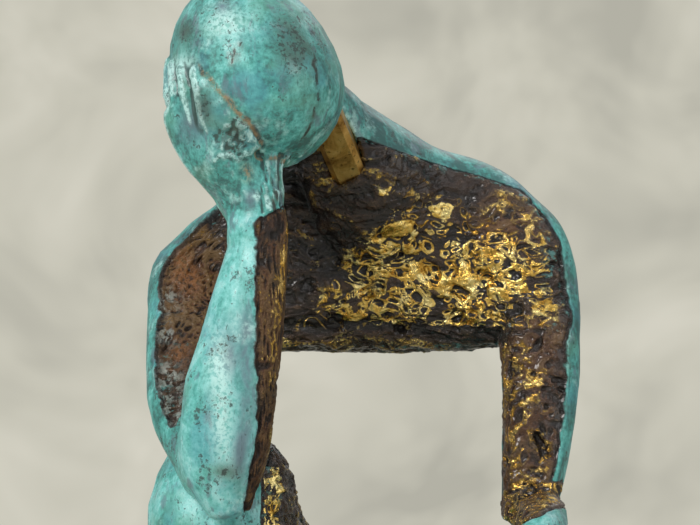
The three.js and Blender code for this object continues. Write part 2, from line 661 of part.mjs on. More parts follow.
// Castings, each cut to leave a seam to what it seats on.
const slab = new THREE.BoxGeometry(2 * PLINTH_WIDTH, 2 * PLINTH_DEPTH, 2 * PLINTH_HEIGHT);
const ground = solid(slab.translate(0, 0, SEAM - PLINTH_HEIGHT));
const castings = {
  head: cut(head(), [solid(neckPeg(SEAM))]),
  chest_shell: cut(chest(), [head(SEAM), solid(neckPeg(SEAM))]),
  right_upper_arm: cut(armBelow(rightArm, RIGHT_SLEEVE), [
    limb(plate, SEAM),
    limb(rightForearm, SEAM),
    limb(rightThigh, SEAM),
  ]),
  right_forearm: cut(limb(rightForearm), [limb(rightThigh, SEAM)]),
  right_hand: cut(rightHand(), [head(SEAM), limb(rightForearm, SEAM)]),
  left_upper_arm: cut(armBelow(leftArm, LEFT_SLEEVE), [
    limb(plate, SEAM),
    limb(leftForearm, SEAM),
    limb(leftThigh, SEAM),
  ]),
  left_forearm: cut(limb(leftForearm), [limb(leftThigh, SEAM)]),
  left_hand: cut(leftHand(), [limb(leftThigh, SEAM), limb(leftShin, SEAM), limb(leftForearm, SEAM)]),
  pelvis: cut(join([limb(pelvis), limb(waist)]), [seatBlock(SEAM)]),
  right_thigh: cut(limb(rightThigh), [limb(pelvis, SEAM), limb(waist, SEAM), seatBlock(SEAM)]),
  left_thigh: cut(limb(leftThigh), [limb(pelvis, SEAM), limb(waist, SEAM), seatBlock(SEAM)]),
  right_shin: cut(limb(rightShin), [limb(rightThigh, SEAM)]),
  left_shin: cut(limb(leftShin), [limb(leftThigh, SEAM)]),
  right_foot: cut(foot(RIGHT_ANKLE, -0.08), [limb(rightShin, SEAM), ground]),
  left_foot: cut(foot(LEFT_ANKLE, 0.08), [limb(leftShin, SEAM), ground]),
  seat_block: seatBlock(),
};
for (const [, { centre, direction }, diameter, length, ...owners] of dowels) {
  const hole = solid(bar(centre, direction, diameter + 2 * PEG_PLAY, length + 2 * PEG_PLAY));
  owners.forEach((owner) => (castings[owner] = castings[owner].subtract(hole)));
}
for (const [owner, foot, depth] of studs) {
  const hole = bar(foot, UP, STUD_DIAMETER + 2 * PEG_PLAY, 2 * (depth + PEG_PLAY));
  castings[owner] = castings[owner].subtract(solid(hole));
}

// Plinth: a bevelled slab with a stepped hole for each stud.
function plinth() {
  const outline = roundedRectangle(PLINTH_WIDTH, PLINTH_DEPTH, PLINTH_CORNER);
  const slab = new THREE.ExtrudeGeometry(outline, {
    depth: PLINTH_HEIGHT - 2 * PLINTH_BEVEL,
    bevelThickness: PLINTH_BEVEL,
    bevelSize: PLINTH_BEVEL,
    bevelOffset: -PLINTH_BEVEL,
    bevelSegments: 1,
    curveSegments: 3,
  });
  slab.translate(0, 0, PLINTH_BEVEL);
  const holes = studs.flatMap(([, foot]) => {
    const through = at(foot.x, foot.y + FIGURE_BACK, PLINTH_HEIGHT / 2);
    const below = at(foot.x, foot.y + FIGURE_BACK, 0);
    return [
      solid(bar(through, UP, STUD_HOLE, PLINTH_HEIGHT + 2)),
      solid(bar(below, UP, COUNTERBORE_DIAMETER, 2 * COUNTERBORE_DEPTH, 16)),
    ];
  });
  return surface(cut(solid(slab), holes));
}

function ringShape(outline, bore) {
  outline.holes.push(new THREE.Path().absarc(0, 0, bore / 2, 0, 2 * Math.PI, true));
  return outline;
}

function washer() {
  const disc = new THREE.Shape().absarc(0, 0, WASHER_DIAMETER / 2, 0, 2 * Math.PI);
  const ring = ringShape(disc, STUD_DIAMETER + 2 * THREAD_PLAY);
  return new THREE.ExtrudeGeometry(ring, { depth: WASHER_THICKNESS, bevelEnabled: false, curveSegments: 5 });
}

function nut() {
  const corner = NUT_ACROSS / 2 / Math.cos(Math.PI / 6);
  const corners = [];
  for (let side = 0; side < 6; side++) {
    const angle = (side * Math.PI) / 3;
    corners.push(new THREE.Vector2(Math.cos(angle) * corner, Math.sin(angle) * corner));
  }
  const ring = ringShape(new THREE.Shape(corners), STUD_DIAMETER + 2 * THREAD_PLAY);
  return new THREE.ExtrudeGeometry(ring, { depth: NUT_HEIGHT, bevelEnabled: false, curveSegments: 4 });
}

function pad() {
  const radius = PAD_DIAMETER / 2;
  const profile = [
    new THREE.Vector2(0, 0),
    new THREE.Vector2(radius - 1.2, 0),
    new THREE.Vector2(radius - 0.3, 0.8),
    new THREE.Vector2(radius, PAD_HEIGHT),
    new THREE.Vector2(0, PAD_HEIGHT),
  ];
  return new THREE.LatheGeometry(profile, 12).rotateX(Math.PI / 2);
}

function finish(color, roughness, metalness) {
  return new THREE.MeshStandardMaterial({ color, roughness, metalness });
}

const PATINA = finish(0x5fb3a9, 0.45, 0.35);
const ROUGH_BRONZE = finish(0x7a5c34, 0.5, 0.85);
const BRASS = finish(0xc99a45, 0.3, 0.95);
const STONE = finish(0x1d1d20, 0.25, 0);
const STEEL = finish(0xa2a5a8, 0.35, 0.9);
const RUBBER = finish(0x161616, 0.9, 0);

function piece(name, geometry, material, position = at(0, 0, 0)) {
  const mesh = new THREE.Mesh(geometry, material);
  mesh.name = name;
  mesh.position.copy(position);
  return mesh;
}

function build() {
  const root = new THREE.Group();
  root.name = "thinker_statue";
  const plinthTop = PAD_HEIGHT + PLINTH_HEIGHT;

  const base = new THREE.Group();
  base.name = "base";
  base.add(piece("plinth", plinth(), STONE, at(0, 0, PAD_HEIGHT)));
  const padX = PLINTH_WIDTH / 2 - PAD_INSET;
  const padY = PLINTH_DEPTH / 2 - PAD_INSET;
  [[-1, -1], [1, -1], [1, 1], [-1, 1]].forEach(([x, y], index) => {
    base.add(piece(`rubber_foot_${index + 1}`, pad(), RUBBER, at(x * padX, y * padY, 0)));
  });
  const washerTop = PAD_HEIGHT + COUNTERBORE_DEPTH;
  for (const [owner, foot, depth] of studs) {
    const tail = COUNTERBORE_DEPTH - WASHER_THICKNESS - NUT_HEIGHT - STUD_TAIL;
    const length = depth + PLINTH_HEIGHT - tail;
    const middle = plinthTop + depth - length / 2;
    const stand = (z) => at(foot.x, foot.y + FIGURE_BACK, z);
    base.add(piece(`${owner}_stud`, bar(at(0, 0, 0), UP, STUD_DIAMETER, length), STEEL, stand(middle)));
    base.add(piece(`${owner}_washer`, washer(), STEEL, stand(washerTop - WASHER_THICKNESS)));
    base.add(piece(`${owner}_nut`, nut(), STEEL, stand(washerTop - WASHER_THICKNESS - NUT_HEIGHT)));
  }

  const figure = new THREE.Group();
  figure.name = "figure";
  figure.position.set(0, FIGURE_BACK, plinthTop);
  for (const [name, body] of Object.entries(castings)) {
    figure.add(piece(name, surface(body), name === "seat_block" ? ROUGH_BRONZE : PATINA));
  }
  figure.add(piece("neck_peg", neckPeg(), BRASS));
  for (const [joint, { centre, direction }, diameter, length] of dowels) {
    figure.add(piece(`${joint}_dowel`, bar(at(0, 0, 0), direction, diameter, length), BRASS, centre));
  }
  root.add(base, figure);
  return root;
}

export default build();
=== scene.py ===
# %% [markdown]
# # A seated thinker in two-tone bronze
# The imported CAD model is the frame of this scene. Every piece below sits exactly where the CAD says,
# in metres, with +Z up. The CAD box is kept first, so that the finished figure can be held against it.

import itertools

import bmesh
import bpy
import numpy as np
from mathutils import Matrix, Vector
from mathutils.bvhtree import BVHTree


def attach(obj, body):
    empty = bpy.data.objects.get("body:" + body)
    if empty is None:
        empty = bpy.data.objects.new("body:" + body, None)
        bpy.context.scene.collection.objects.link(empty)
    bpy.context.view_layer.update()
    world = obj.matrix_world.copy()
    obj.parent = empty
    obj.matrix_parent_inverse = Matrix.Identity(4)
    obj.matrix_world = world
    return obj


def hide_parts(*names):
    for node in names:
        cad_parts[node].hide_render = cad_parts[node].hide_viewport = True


TO_MM = 1000

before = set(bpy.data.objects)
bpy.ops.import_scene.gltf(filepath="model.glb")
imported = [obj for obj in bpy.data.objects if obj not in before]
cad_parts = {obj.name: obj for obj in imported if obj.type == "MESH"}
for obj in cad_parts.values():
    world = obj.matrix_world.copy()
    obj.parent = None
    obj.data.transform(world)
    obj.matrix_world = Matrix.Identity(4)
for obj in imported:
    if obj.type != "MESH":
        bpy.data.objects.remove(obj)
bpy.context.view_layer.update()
print("loaded", len(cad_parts), "CAD nodes")

# %% [markdown]
# ## Camera
# The view is a level one from the front, a metre away, and it takes in 210 mm of the figure's upper
# part. A long lens keeps the head and the shoulders in their true proportion, so the camera stands a
# metre off and is zoomed in, instead of coming close with a wide lens.

# %% Camera
SENSOR_WIDTH = 36
VIEW_WIDTH = 0.21


def new_object(name, data):
    """A new object that is part of the scene."""
    thing = bpy.data.objects.new(name, data)
    bpy.context.scene.collection.objects.link(thing)
    return thing


camera_data = bpy.data.cameras.new("front_camera")
camera_data.sensor_width = SENSOR_WIDTH
camera_data.lens = SENSOR_WIDTH / VIEW_WIDTH
camera = new_object("front_camera", camera_data)
camera.location = (-0.0045, -1.012, 0.20465)
camera.rotation_euler = (np.pi / 2, 0, 0)
bpy.context.scene.camera = camera
bpy.context.scene.view_settings.view_transform = "Standard"
print("camera at", tuple(round(v, 4) for v in camera.location))

# %% [markdown]
# ## Small helpers for node trees
# A finish is a small factory of nodes. These helpers place a node, join it to others and set its
# values in one line, so that a finish below reads as a list of what is seen on the metal.


# %% Node helpers
class Nodes:
    """A node tree with short ways to add to it. Most of them give back the new node's output."""

    def __init__(self, tree):
        self.tree = tree

    def fill(self, node, inputs):
        """Joins a node's inputs to other outputs, or sets their values."""
        for key, value in inputs.items():
            if isinstance(value, bpy.types.NodeSocket):
                self.tree.links.new(value, node.inputs[key])
            else:
                node.inputs[key].default_value = value

    def place(self, kind, inputs=None, **settings):
        """Adds a node, sets it up and fills its inputs."""
        node = self.tree.nodes.new("ShaderNode" + kind)
        for key, value in settings.items():
            setattr(node, key, value)
        self.fill(node, inputs or {})
        return node

    def math(self, operation, first, second=0.0, third=0.0):
        """One step of arithmetic."""
        return self.place("Math", {0: first, 1: second, 2: third}, operation=operation).outputs[0]

    def times(self, first, second):
        """One number times another."""
        return self.math("MULTIPLY", first, second)

    def times_plus(self, first, factor, rest):
        """A number times a factor, and the rest on top."""
        return self.math("MULTIPLY_ADD", first, factor, rest)

    def larger(self, first, second):
        """The larger of two numbers."""
        return self.math("MAXIMUM", first, second)

    def mixed(self, share, first, second):
        """Two colours, mixed by a share."""
        return self.place("Mix", {0: share, 6: first, 7: second}, data_type="RGBA").outputs[2]

    def mixed_value(self, share, first, second):
        """Two numbers, mixed by a share."""
        return self.place("Mix", {0: share, 2: first, 3: second}, data_type="FLOAT").outputs[0]

    def clouds(self, point, size, detail=3.0, roughness=0.55, warp=0.0):
        """Soft cloudy noise whose clouds are about `size` wide."""
        values = {"Vector": point, "Scale": 1 / size, "Detail": detail}
        values |= {"Roughness": roughness, "Distortion": warp}
        return self.place("TexNoise", values).outputs["Fac"]

    def step(self, value, low, high, bottom=0.0, top=1.0):
        """Goes softly from bottom to top while the value goes from low to high."""
        values = {"Value": value, 1: low, 2: high, 3: bottom, 4: top}
        return self.place("MapRange", values, interpolation_type="SMOOTHSTEP").outputs[0]

    def ramp(self, value, stops):
        """A colour that changes with a value."""
        node = self.place("ValToRGB", {0: value})
        elements = node.color_ramp.elements
        while len(elements) < len(stops):
            elements.new(0.5)
        for element, (spot, colour) in zip(elements, stops):
            element.position = spot
            element.color = (*colour, 1)
        return node.outputs[0]

    def stretched(self, point, x, y, z):
        """The same point, drawn out along some directions, for streaks."""
        return self.place("VectorMath", {0: point, 1: (x, y, z)}, operation="MULTIPLY").outputs[0]

    def millimetres(self):
        """The point on the piece, in millimetres of the figure's own frame."""
        return self.stretched(self.place("TexCoord").outputs["Object"], TO_MM, TO_MM, TO_MM)

    def number(self, name):
        """A number that the mesh carries at each of its points."""
        return self.place("Attribute", attribute_name=name).outputs["Fac"]

    def bump(self, height, strength, distance):
        """The direction of a face with small heights on it."""
        values = {"Height": height, "Strength": strength, "Distance": distance}
        return self.place("Bump", values).outputs["Normal"]


def new_material(name):
    """An empty material, its nodes and its Principled shader."""
    material = bpy.data.materials.new(name)
    material.use_nodes = True
    tree = material.node_tree
    return material, Nodes(tree), tree.nodes["Principled BSDF"]


def new_group(name, inputs, outputs):
    """An empty node group, its nodes, its input sockets (a point and some numbers) and its output node."""
    group = bpy.data.node_groups.new(name, "ShaderNodeTree")
    group.interface.new_socket("Point", in_out="INPUT", socket_type="NodeSocketVector")
    for title in inputs:
        group.interface.new_socket(title, in_out="INPUT", socket_type="NodeSocketFloat")
    for title in outputs:
        kind = "NodeSocketColor" if title == "Color" else "NodeSocketFloat"
        group.interface.new_socket(title, in_out="OUTPUT", socket_type=kind)
    given = group.nodes.new("NodeGroupInput").outputs
    return group, Nodes(group), given, group.nodes.new("NodeGroupOutput")


print("node helpers ready")

# %% [markdown]
# ## Studio
# The figure stands on a plain pale floor. The background is a soft grey-beige, a little cloudy like
# an old plaster wall far behind, and only the camera sees it. The light on the figure comes from a
# neutral dome and three large soft lamps. Polished metal mirrors a dimmer dome, because a bright even
# room all around would leave the gold without any contrast.

# %% Studio
WALL = [(0.30, (0.45, 0.44, 0.375)), (0.50, (0.57, 0.555, 0.47)), (0.72, (0.66, 0.64, 0.55))]
ROOM = [(0.15, (0.10, 0.10, 0.09)), (0.48, (0.20, 0.195, 0.18))]
ROOM += [(0.75, (0.48, 0.49, 0.50)), (0.95, (0.75, 0.77, 0.8))]
DOME = {"Color": (0.96, 0.98, 1.0, 1), "Strength": 0.42}
LAMP_AIM = Vector((0, 0, 0.2))
world = bpy.data.worlds.new("studio")
bpy.context.scene.world = world
world.use_nodes = True
nodes = Nodes(world.node_tree)
nodes.tree.nodes.clear()
direction = nodes.place("TexCoord").outputs["Generated"]
wall = nodes.ramp(nodes.clouds(direction, 0.045, warp=0.4), WALL)
upward = nodes.place("SeparateXYZ", {0: direction}).outputs["Z"]
room = nodes.ramp(nodes.times_plus(upward, 0.5, 0.5), ROOM)
seen = nodes.place("Background", {"Color": wall, "Strength": 1.0}).outputs[0]
dome = nodes.place("Background", DOME).outputs[0]
mirrored = nodes.place("Background", {"Color": room, "Strength": 1.0}).outputs[0]
ray = nodes.place("LightPath").outputs
lit = nodes.place("MixShader", {0: ray["Is Glossy Ray"], 1: dome, 2: mirrored}).outputs[0]
both = nodes.place("MixShader", {0: ray["Is Camera Ray"], 1: lit, 2: seen}).outputs[0]
nodes.place("OutputWorld", {"Surface": both})


def softbox(name, spot, size, watts, colour):
    """A large square lamp that looks at the figure."""
    light = bpy.data.lights.new(name, "AREA")
    light.shape = "SQUARE"
    light.size = size
    light.energy = watts
    light.color = colour
    lamp = new_object(name, light)
    lamp.location = spot
    lamp.rotation_euler = (LAMP_AIM - Vector(spot)).to_track_quat("-Z", "Y").to_euler()


softbox("key_lamp", (-0.85, -1.2, 1.05), 0.5, 18, (1.0, 0.985, 0.96))
softbox("fill_lamp", (1.2, -0.8, 0.5), 0.9, 4, (0.97, 0.985, 1.0))
softbox("back_lamp", (0.35, 1.1, 1.1), 0.9, 3, (1.0, 0.99, 0.97))
print("world and three lamps made")

# %% [markdown]
# The floor is one round sheet, built from rings of quads. Its colour fades into the background
# further out, so that no horizon cuts through the picture.

# %% Floor
PLASTER = (0.545, 0.53, 0.445, 1)
FLOOR_TONES = [(0.3, (0.52, 0.505, 0.43)), (0.7, (0.57, 0.555, 0.475))]
ring_count, spoke_count, floor_radius = 24, 96, 1.4
floor_points = [(0, 0, 0)]
for ring in range(1, ring_count + 1):
    radius = floor_radius * (ring / ring_count) ** 1.3
    for spoke in range(spoke_count):
        turn = 2 * np.pi * spoke / spoke_count
        floor_points.append((radius * np.cos(turn), radius * np.sin(turn), 0))
floor_faces = []
for spoke in range(spoke_count):
    after = (spoke + 1) % spoke_count
    floor_faces.append((0, 1 + spoke, 1 + after))
    for ring in range(ring_count - 1):
        inner, outer = 1 + ring * spoke_count, 1 + (ring + 1) * spoke_count
        floor_faces.append((inner + spoke, outer + spoke, outer + after, inner + after))
floor_mesh = bpy.data.meshes.new("floor")
floor_mesh.from_pydata(floor_points, [], floor_faces)
floor = new_object("floor", floor_mesh)

floor_material, nodes, shader = new_material("pale_floor")
point = nodes.millimetres()
tone = nodes.ramp(nodes.clouds(point, 180, 4), FLOOR_TONES)
nodes.fill(shader, {"Base Color": tone, "Roughness": 0.7})
distance = nodes.place("VectorMath", {0: point}, operation="LENGTH").outputs["Value"]
from_camera = nodes.place("LightPath").outputs["Is Camera Ray"]
hazy = nodes.times(nodes.step(distance, 420, 1250), from_camera)
glow = nodes.place("Emission", {"Color": PLASTER, "Strength": 1.0}).outputs[0]
fade = nodes.place("MixShader", {0: hazy, 1: shader.outputs[0], 2: glow}).outputs[0]
nodes.fill(nodes.tree.nodes["Material Output"], {"Surface": fade})
floor.data.materials.append(floor_material)
print("floor with", len(floor_faces), "faces")

# %% [markdown]
# ## Noise for the metal's shape
# Cast bronze is never quite even. The torn faces of this figure are lumps, streaks and burst bubbles,
# which have to be real shape because they cast shadows and catch the light. Blender could do it with
# Displace modifiers, but here numpy works out the heights, so that the colour can use them as well.
# The noise is a hash of whole numbers, so that it is the same on every run.

# %% Noise helpers
PRIMES = [np.uint64(prime) for prime in (374761393, 668265263, 2246822519, 3266489917)]
WORD = np.uint64(0xFFFFFFFF)
FAR_CELL = 1000


def lottery(cells, seed):
    """A number from 0 to 1 for each cell of a grid, always the same for the same cell."""
    x, y, z = (cells[:, axis].astype(np.uint64) for axis in range(3))
    mix = (x * PRIMES[0] + y * PRIMES[1] + z * PRIMES[2] + np.uint64(seed) * PRIMES[3]) & WORD
    mix = ((mix ^ (mix >> np.uint64(15))) * PRIMES[2]) & WORD
    mix = ((mix ^ (mix >> np.uint64(13))) * PRIMES[3]) & WORD
    return ((mix ^ (mix >> np.uint64(16))) & np.uint64(0xFFFF)) / 65535.0


def clouds(points, size, seed, octaves=3):
    """Cloudy noise from about -1 to 1, with clouds of about `size` mm."""
    total, weight = np.zeros(len(points)), 0.0
    for octave in range(octaves):
        spots = points / (size / 2**octave) + FAR_CELL
        cells = np.floor(spots).astype(np.int64)
        part = spots - cells
        part = part * part * (3 - 2 * part)
        value = np.zeros(len(points))
        for corner in itertools.product((0, 1), repeat=3):
            share = np.prod([part[:, a] if corner[a] else 1 - part[:, a] for a in range(3)], axis=0)
            value += share * lottery(cells + corner, seed + octave)
        total += (2 * value - 1) / 2**octave
        weight += 1 / 2**octave
    return total / weight


def bubble_walls(points, size, seed):
    """Foam of bubbles about `size` mm wide: how far each point is from the wall to the next bubble, and a
    number from 0 to 1 that belongs to the bubble round the point."""
    cells = np.floor(points / size).astype(np.int64) + FAR_CELL
    first = np.full(len(points), 1e9)
    second = first.copy()
    number = np.zeros(len(points))
    for shift in itertools.product((-1, 0, 1), repeat=3):
        spot = cells + shift
        centre = np.stack([lottery(spot, seed + axis) for axis in range(3)], axis=1)
        gap = np.linalg.norm(points - (spot - FAR_CELL + centre) * size, axis=1)
        closer = gap < first
        second = np.where(closer, first, np.minimum(second, gap))
        number = np.where(closer, lottery(spot, seed + 3), number)
        first = np.where(closer, gap, first)
    return (second - first) / 2, number


def soft_step(value, low, high):
    """Goes softly from 0 to 1 while the value goes from low to high."""
    part = np.clip((value - low) / (high - low), 0, 1)
    return part * part * (3 - 2 * part)


def bell(value, width):
    """1 where the value is 0, falling softly to 0 at about twice the width on both sides."""
    return np.exp(-((value / width) ** 2))


print("noise helpers ready")

# %% [markdown]
# ## Welding the castings
# On the bench this figure is a set of castings brazed together, and then filed and patinated until
# the skin runs on across the joints. So the castings are welded first: their CAD solids, a hair
# fatter, are joined by Blender's voxel Remesh, and the new skin is smoothed along the joints. Later it
# is cut apart again, so that each piece still stands for its own casting. There are three such skins:
# the upper figure, the legs and the seat.

# %% Weld
UPPER_VOXEL = 0.7
LEG_VOXEL = 1.0
SEAT_VOXEL = 1.6
HAIR = 0.0002
TINY = 1e-12


def edges_of(faces, others=()):
    """Each edge of a mesh of quads and some other rings, once."""
    pairs = [np.stack([faces.ravel(), np.roll(faces, -1, axis=1).ravel()], axis=1)]
    pairs += [np.stack([ring, np.roll(ring, -1)], axis=1) for ring in others]
    return np.unique(np.sort(np.concatenate(pairs), axis=1), axis=0)


def unit(vectors):
    """The same directions, all of length 1."""
    return vectors / np.maximum(np.linalg.norm(vectors, axis=1, keepdims=True), TINY)


def normals_of(points, faces, others=()):
    """The direction that the skin faces at each point."""
    diagonals = points[faces[:, 2]] - points[faces[:, 0]], points[faces[:, 3]] - points[faces[:, 1]]
    across = np.cross(*diagonals)
    total = np.zeros_like(points)
    for corner, axis in itertools.product(range(4), range(3)):
        total[:, axis] += np.bincount(faces[:, corner], across[:, axis], len(points))
    for ring in others:
        spokes = points[ring] - points[ring[0]]
        total[ring] += np.cross(spokes, np.roll(spokes, -1, axis=0)).sum(axis=0)
    return unit(total)


def spread(values, edges, rounds, share=0.5):
    """Lets each point take over some of its neighbours' mean, again and again."""
    values = np.array(values, dtype=float)
    flat = values.reshape(len(values), -1)
    share = np.broadcast_to(np.asarray(share, dtype=float), len(flat))
    if (share == 0).any():
        used, local = np.unique(edges[(share[edges] != 0).any(axis=1)], return_inverse=True)
        edges = local.reshape(-1, 2)
    else:
        used = np.arange(len(flat))
    part, share = flat[used], share[used]
    first, second = edges.T
    count = np.maximum(np.bincount(edges.ravel(), minlength=len(part)), 1)
    for _ in range(rounds):
        for column in range(part.shape[1]):
            near = np.bincount(first, part[second, column], len(part))
            near += np.bincount(second, part[first, column], len(part))
            part[:, column] += share * (near / count - part[:, column])
    flat[used] = part
    return flat.reshape(values.shape)


def outer_skin(points, faces):
    """Keeps the largest connected skin, so that the dowels' holes inside the metal are left out."""
    edges = edges_of(faces)
    group = np.arange(len(points))
    while True:
        low = np.minimum(group[edges[:, 0]], group[edges[:, 1]])
        fresh = group.copy()
        np.minimum.at(fresh, edges[:, 0], low)
        np.minimum.at(fresh, edges[:, 1], low)
        fresh = fresh[fresh]
        if np.array_equal(fresh, group):
            break
        group = fresh
    kept = group == np.bincount(group).argmax()
    order = np.cumsum(kept) - 1
    return points[kept], order[faces[kept[faces[:, 0]]]]


def weld(names, voxel):
    """One skin over several castings, in millimetres."""
    solid = bmesh.new()
    for name in names:
        solid.from_mesh(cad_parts[name].data)
    bmesh.ops.remove_doubles(solid, verts=solid.verts, dist=1e-6)
    solid.normal_update()
    for vert in solid.verts:
        vert.co += vert.normal * HAIR
    mesh = bpy.data.meshes.new("welding")
    solid.to_mesh(mesh)
    solid.free()
    helper = new_object("welding", mesh)
    remesh = helper.modifiers.new("weld", "REMESH")
    remesh.mode = "VOXEL"
    remesh.voxel_size = voxel / TO_MM
    skin = helper.evaluated_get(bpy.context.evaluated_depsgraph_get()).to_mesh()
    points = np.empty(len(skin.vertices) * 3)
    skin.vertices.foreach_get("co", points)
    faces = np.empty(len(skin.loops), dtype=np.int64)
    skin.loops.foreach_get("vertex_index", faces)
    bpy.data.objects.remove(helper)
    bpy.data.meshes.remove(mesh)
    return outer_skin(points.reshape(-1, 3) * TO_MM, faces.reshape(-1, 4))


class Skin:
    """One welded skin: its castings' names, its mesh, and later all that is known at its points."""

    def __init__(self, names, voxel):
        self.names = names
        self.points, self.faces = weld(names, voxel)
        self.edges = edges_of(self.faces)

    def share(self, name):
        """How far each point belongs to one casting, from 0 to 1."""
        if name in self.names:
            return self.shares[:, self.names.index(name)]
        return np.zeros(len(self.points))


UPPER_NAMES = ["head", "chest_shell", "right_upper_arm", "right_forearm", "right_hand"]
UPPER_NAMES += ["left_upper_arm", "left_forearm", "left_hand"]
LEG_NAMES = ["pelvis", "right_thigh", "left_thigh", "right_shin", "left_shin", "right_foot", "left_foot"]
upper = Skin(UPPER_NAMES, UPPER_VOXEL)
legs = Skin(LEG_NAMES, LEG_VOXEL)
seat = Skin(["seat_block"], SEAT_VOXEL)
SKINS = [upper, legs, seat]
print("points of the upper skin, the legs and the seat:", [len(skin.points) for skin in SKINS])

# %% [markdown]
# Each point of the welded skin belongs to the casting whose CAD surface is nearest. The belonging is
# spread out a little over the neighbours, so that one casting's finish can run softly into the next.

# %% Which casting each point belongs to
BELONGING_ROUNDS = 14


def belonging(skin):
    """For each point the share of every casting, smoothed over its neighbours."""
    corners, triangles, owner = [], [], []
    for number, name in enumerate(skin.names):
        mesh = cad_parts[name].data
        mesh.calc_loop_triangles()
        start = len(corners)
        corners += [vert.co * TO_MM for vert in mesh.vertices]
        for triangle in mesh.loop_triangles:
            triangles.append(tuple(start + index for index in triangle.vertices))
            owner.append(number)
    search = BVHTree.FromPolygons(corners, triangles)
    nearest = np.array([owner[search.find_nearest(point)[2]] for point in skin.points.tolist()])
    shares = (nearest[:, None] == np.arange(len(skin.names))).astype(float)
    return spread(shares, skin.edges, BELONGING_ROUNDS)


for skin in SKINS:
    skin.shares = belonging(skin)
    for name in skin.names:
        print(name, "has about", int(skin.share(name).sum()), "points")

# %% [markdown]
# ## Fairing
# The voxel steps go first, by smoothing in and out by turns so that nothing shrinks. Then the joints
# are filed: wherever two castings meet, the skin is smoothed more, except where the hand lies on the
# head, because there the brazing is left to be seen. Some spots of a single casting are filed too.
# Last, shoulders, arms and knees are filled out or taken in by a few millimetres at most, and the top
# of the head leans a little to the hand.

# %% Fairing
FAIRING_ROUNDS = (10, 10, 4)
FILED_SPOTS = [
    ("chest_shell", (22, -4, 228), (20, 40, 12)),
    ("chest_shell", (56, 6, 214), (12, 30, 14)),
    ("chest_shell", (-56, 6, 214), (5, 30, 5)),
    ("right_hand", (-30, -52, 232), (5, 12, 5)),
    ("right_upper_arm", (-52, -45, 152), (12, 14, 12)),
    ("right_forearm", (-52, -45, 152), (12, 14, 12)),
]
UPPER_SWELLS = [
    ((30, 5, 233), (22, 30, 9), 1.9),
    ((57, 5, 217), (10, 30, 11), 1.9),
    ((-2, 5, 254), (8, 30, 8), 1.0),
    ((-53, 5, 216), (8, 30, 6), 2.2),
    ((-66, 5, 196), (5, 30, 8), 0.8),
    ((26, 5, 240), (10, 30, 6), 0.6),
    ((64, -2, 127), (8, 30, 10), -1.8),
    ((-62, 5, 209), (4, 30, 4), -0.8),
]
LEG_SWELLS = [((-65, -24, 142), (8, 40, 14), -1.3), ((-27, -40, 148), (5, 14, 6), 3.2)]
HEAD_LEAN = 1.6


def faired(points, edges, rounds):
    """Smooths without shrinking."""
    for _ in range(rounds):
        points = spread(points, edges, 1, 0.55)
        points = spread(points, edges, 1, -0.57)
    return points


def near_spot(points, spot, reach):
    """1 at a spot, falling softly to 0 at about twice its reach along each axis."""
    return np.exp(-(((points - spot) / reach) ** 2).sum(axis=1))


def joints_filed(skin, rounds, kept_sharp):
    """The points with the skin smoothed along the joints, apart from a pair that is left as it is."""
    shares = skin.shares.copy()
    for single, partner in kept_sharp:
        shares[:, skin.names.index(partner)] += shares[:, skin.names.index(single)]
        shares[:, skin.names.index(single)] = 0
    ordered = np.sort(spread(shares, skin.edges, rounds), axis=1)
    closeness = np.clip(1 - (ordered[:, -1] - ordered[:, -2]), 0, 1) ** 1.5
    return spread(skin.points, skin.edges, 60, 0.5 * closeness)


def spot_filed(skin, name, spot, reach):
    """The points with one casting smoothed round a spot."""
    weight = near_spot(skin.points, spot, reach) * skin.share(name)
    rounds = int(170 / UPPER_VOXEL**2)
    return spread(skin.points, skin.edges, rounds, np.where(weight > 0.05, 0.8 * weight, 0))


def swollen(skin, swells):
    """The points pushed out a little round some spots, or in where the height is negative."""
    points = skin.points
    for spot, reach, height in swells:
        push = height * near_spot(points, spot, reach)
        points = points + normals_of(points, skin.faces) * push[:, None]
    return points


for skin, rounds in zip(SKINS, FAIRING_ROUNDS):
    skin.points = faired(skin.points, skin.edges, rounds)
upper.points = joints_filed(upper, 40, [("right_hand", "head")])
for name, spot, reach in FILED_SPOTS:
    upper.points = spot_filed(upper, name, spot, reach)
upper.points = swollen(upper, UPPER_SWELLS)
upper.points[:, 0] -= HEAD_LEAN * soft_step(upper.points[:, 2], 250, 284) * upper.share("head")
legs.points = swollen(legs, LEG_SWELLS)
legs.points = joints_filed(legs, 30, [])
print("joints filed")

# %% [markdown]
# ## Smooth skin and torn faces
# The figure has two sides. Outer faces keep a smooth skin, and the faces turned inwards and to the
# front are left as torn metal. On each casting a direction says where the torn side is, and the skin's
# edge wanders by noise so that it looks broken and not drawn.

# %% Where the metal is torn
CALM_ROUNDS = (25, 20, 3)
TORN_SCALE = 14


